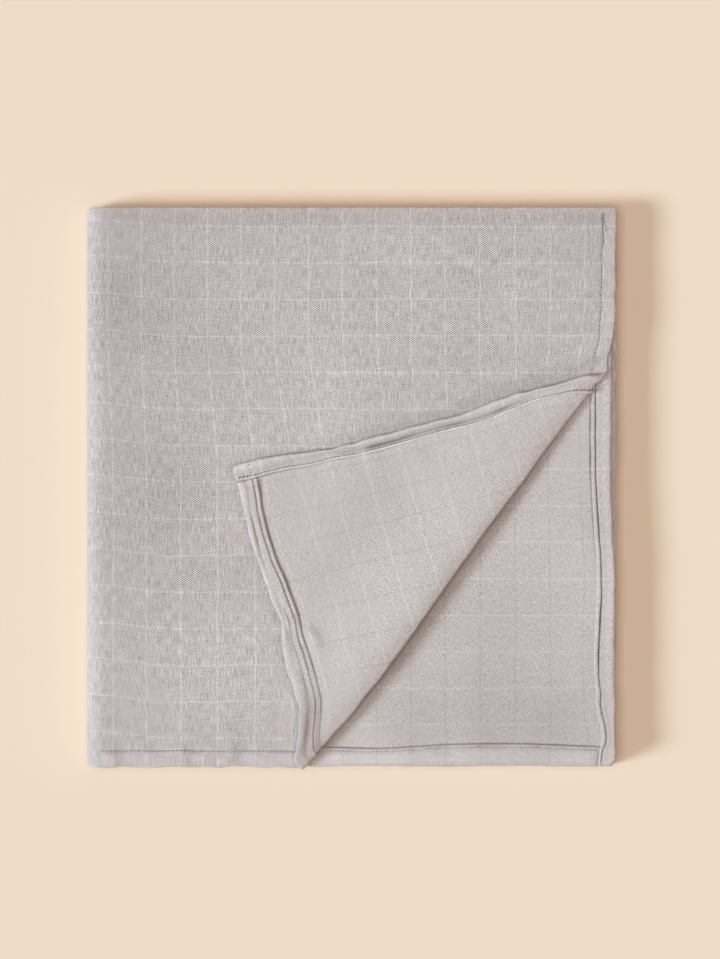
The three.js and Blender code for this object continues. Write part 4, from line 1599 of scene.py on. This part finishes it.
class MUSLIN_OT_set_stage(bpy.types.Operator):
    """Lays the floor, and sets the lights and the camera"""

    bl_idname = "muslin.set_stage"
    bl_label = "Set the stage"
    bl_options = {"REGISTER", "UNDO"}

    def execute(self, context):
        stage = context.scene.muslin_stage
        self.lay_floor(stage)
        fill, world = stage.fill_colour, stage.world_share
        add_sun("key_light", KEY_TRAVEL, stage.key_colour, stage.key_softness)
        overhead = [part * (1.0 - world) for part in fill]
        add_sun("fill_light", FILL_TRAVEL, overhead, FILL_SOFTNESS)
        self.light_surroundings(context.scene, [part * world for part in fill])
        self.set_camera(context.scene, stage)
        context.scene.view_settings.view_transform = "Standard"
        return {"FINISHED"}

    def lay_floor(self, stage):
        bpy.ops.mesh.primitive_plane_add(size=FLOOR_SIZE)
        floor = bpy.context.object
        floor.name = "floor"
        material, tree, shader = new_material("floor_paper")
        tree.feed(shader, {"Base Color": (*stage.floor_colour, 1.0), **FLOOR_SURFACE})
        floor.data.materials.append(material)

    def light_surroundings(self, scene, colour):
        world = bpy.data.worlds.new("soft_surroundings")
        world.use_nodes = True
        world.node_tree.nodes["Background"].inputs["Color"].default_value = (*colour, 1.0)
        scene.world = world

    def set_camera(self, scene, stage):
        lens = bpy.data.cameras.new("camera")
        lens.sensor_width = SENSOR
        lens.lens = SENSOR * stage.camera_height / (PICTURE_LENGTH * MM)
        lens.clip_end = VIEW_REACH
        camera = bpy.data.objects.new("camera", lens)
        scene.collection.objects.link(camera)
        top = blanket_high[2]
        camera.location = (PICTURE_MIDDLE[0] * MM, PICTURE_MIDDLE[1] * MM, stage.camera_height + top)
        scene.camera = camera


class MUSLIN_PT_blanket(bpy.types.Panel):
    """Settings and steps of the muslin blanket"""

    bl_idname = "MUSLIN_PT_blanket"
    bl_label = "Muslin blanket"
    bl_space_type = "VIEW_3D"
    bl_region_type = "UI"
    bl_category = "Muslin"

    def draw(self, context):
        layout = self.layout
        steps = (
            (context.scene.muslin_cloth, MUSLIN_OT_fold_cloth),
            (context.scene.muslin_sewing, MUSLIN_OT_sew_hems),
            (context.scene.muslin_stage, MUSLIN_OT_set_stage),
        )
        for settings, step in steps:
            column = layout.column(align=True)
            for name in type(settings).__annotations__:
                column.prop(settings, name)
            column.operator(step.bl_idname)


CLASSES = (
    MuslinClothSettings,
    MuslinSewingSettings,
    MuslinStageSettings,
    MUSLIN_OT_fold_cloth,
    MUSLIN_OT_sew_hems,
    MUSLIN_OT_set_stage,
    MUSLIN_PT_blanket,
)


def register():
    for item in CLASSES:
        bpy.utils.register_class(item)
    bpy.types.Scene.muslin_cloth = PointerProperty(type=MuslinClothSettings)
    bpy.types.Scene.muslin_sewing = PointerProperty(type=MuslinSewingSettings)
    bpy.types.Scene.muslin_stage = PointerProperty(type=MuslinStageSettings)


def unregister():
    del bpy.types.Scene.muslin_stage
    del bpy.types.Scene.muslin_sewing
    del bpy.types.Scene.muslin_cloth
    for item in reversed(CLASSES):
        bpy.utils.unregister_class(item)


def main():
    register()
    bpy.ops.object.select_all(action="DESELECT")
    bpy.ops.muslin.set_stage()
    bpy.ops.muslin.fold_cloth()
    bpy.ops.muslin.sew_hems()


if __name__ == "__main__":
    main()
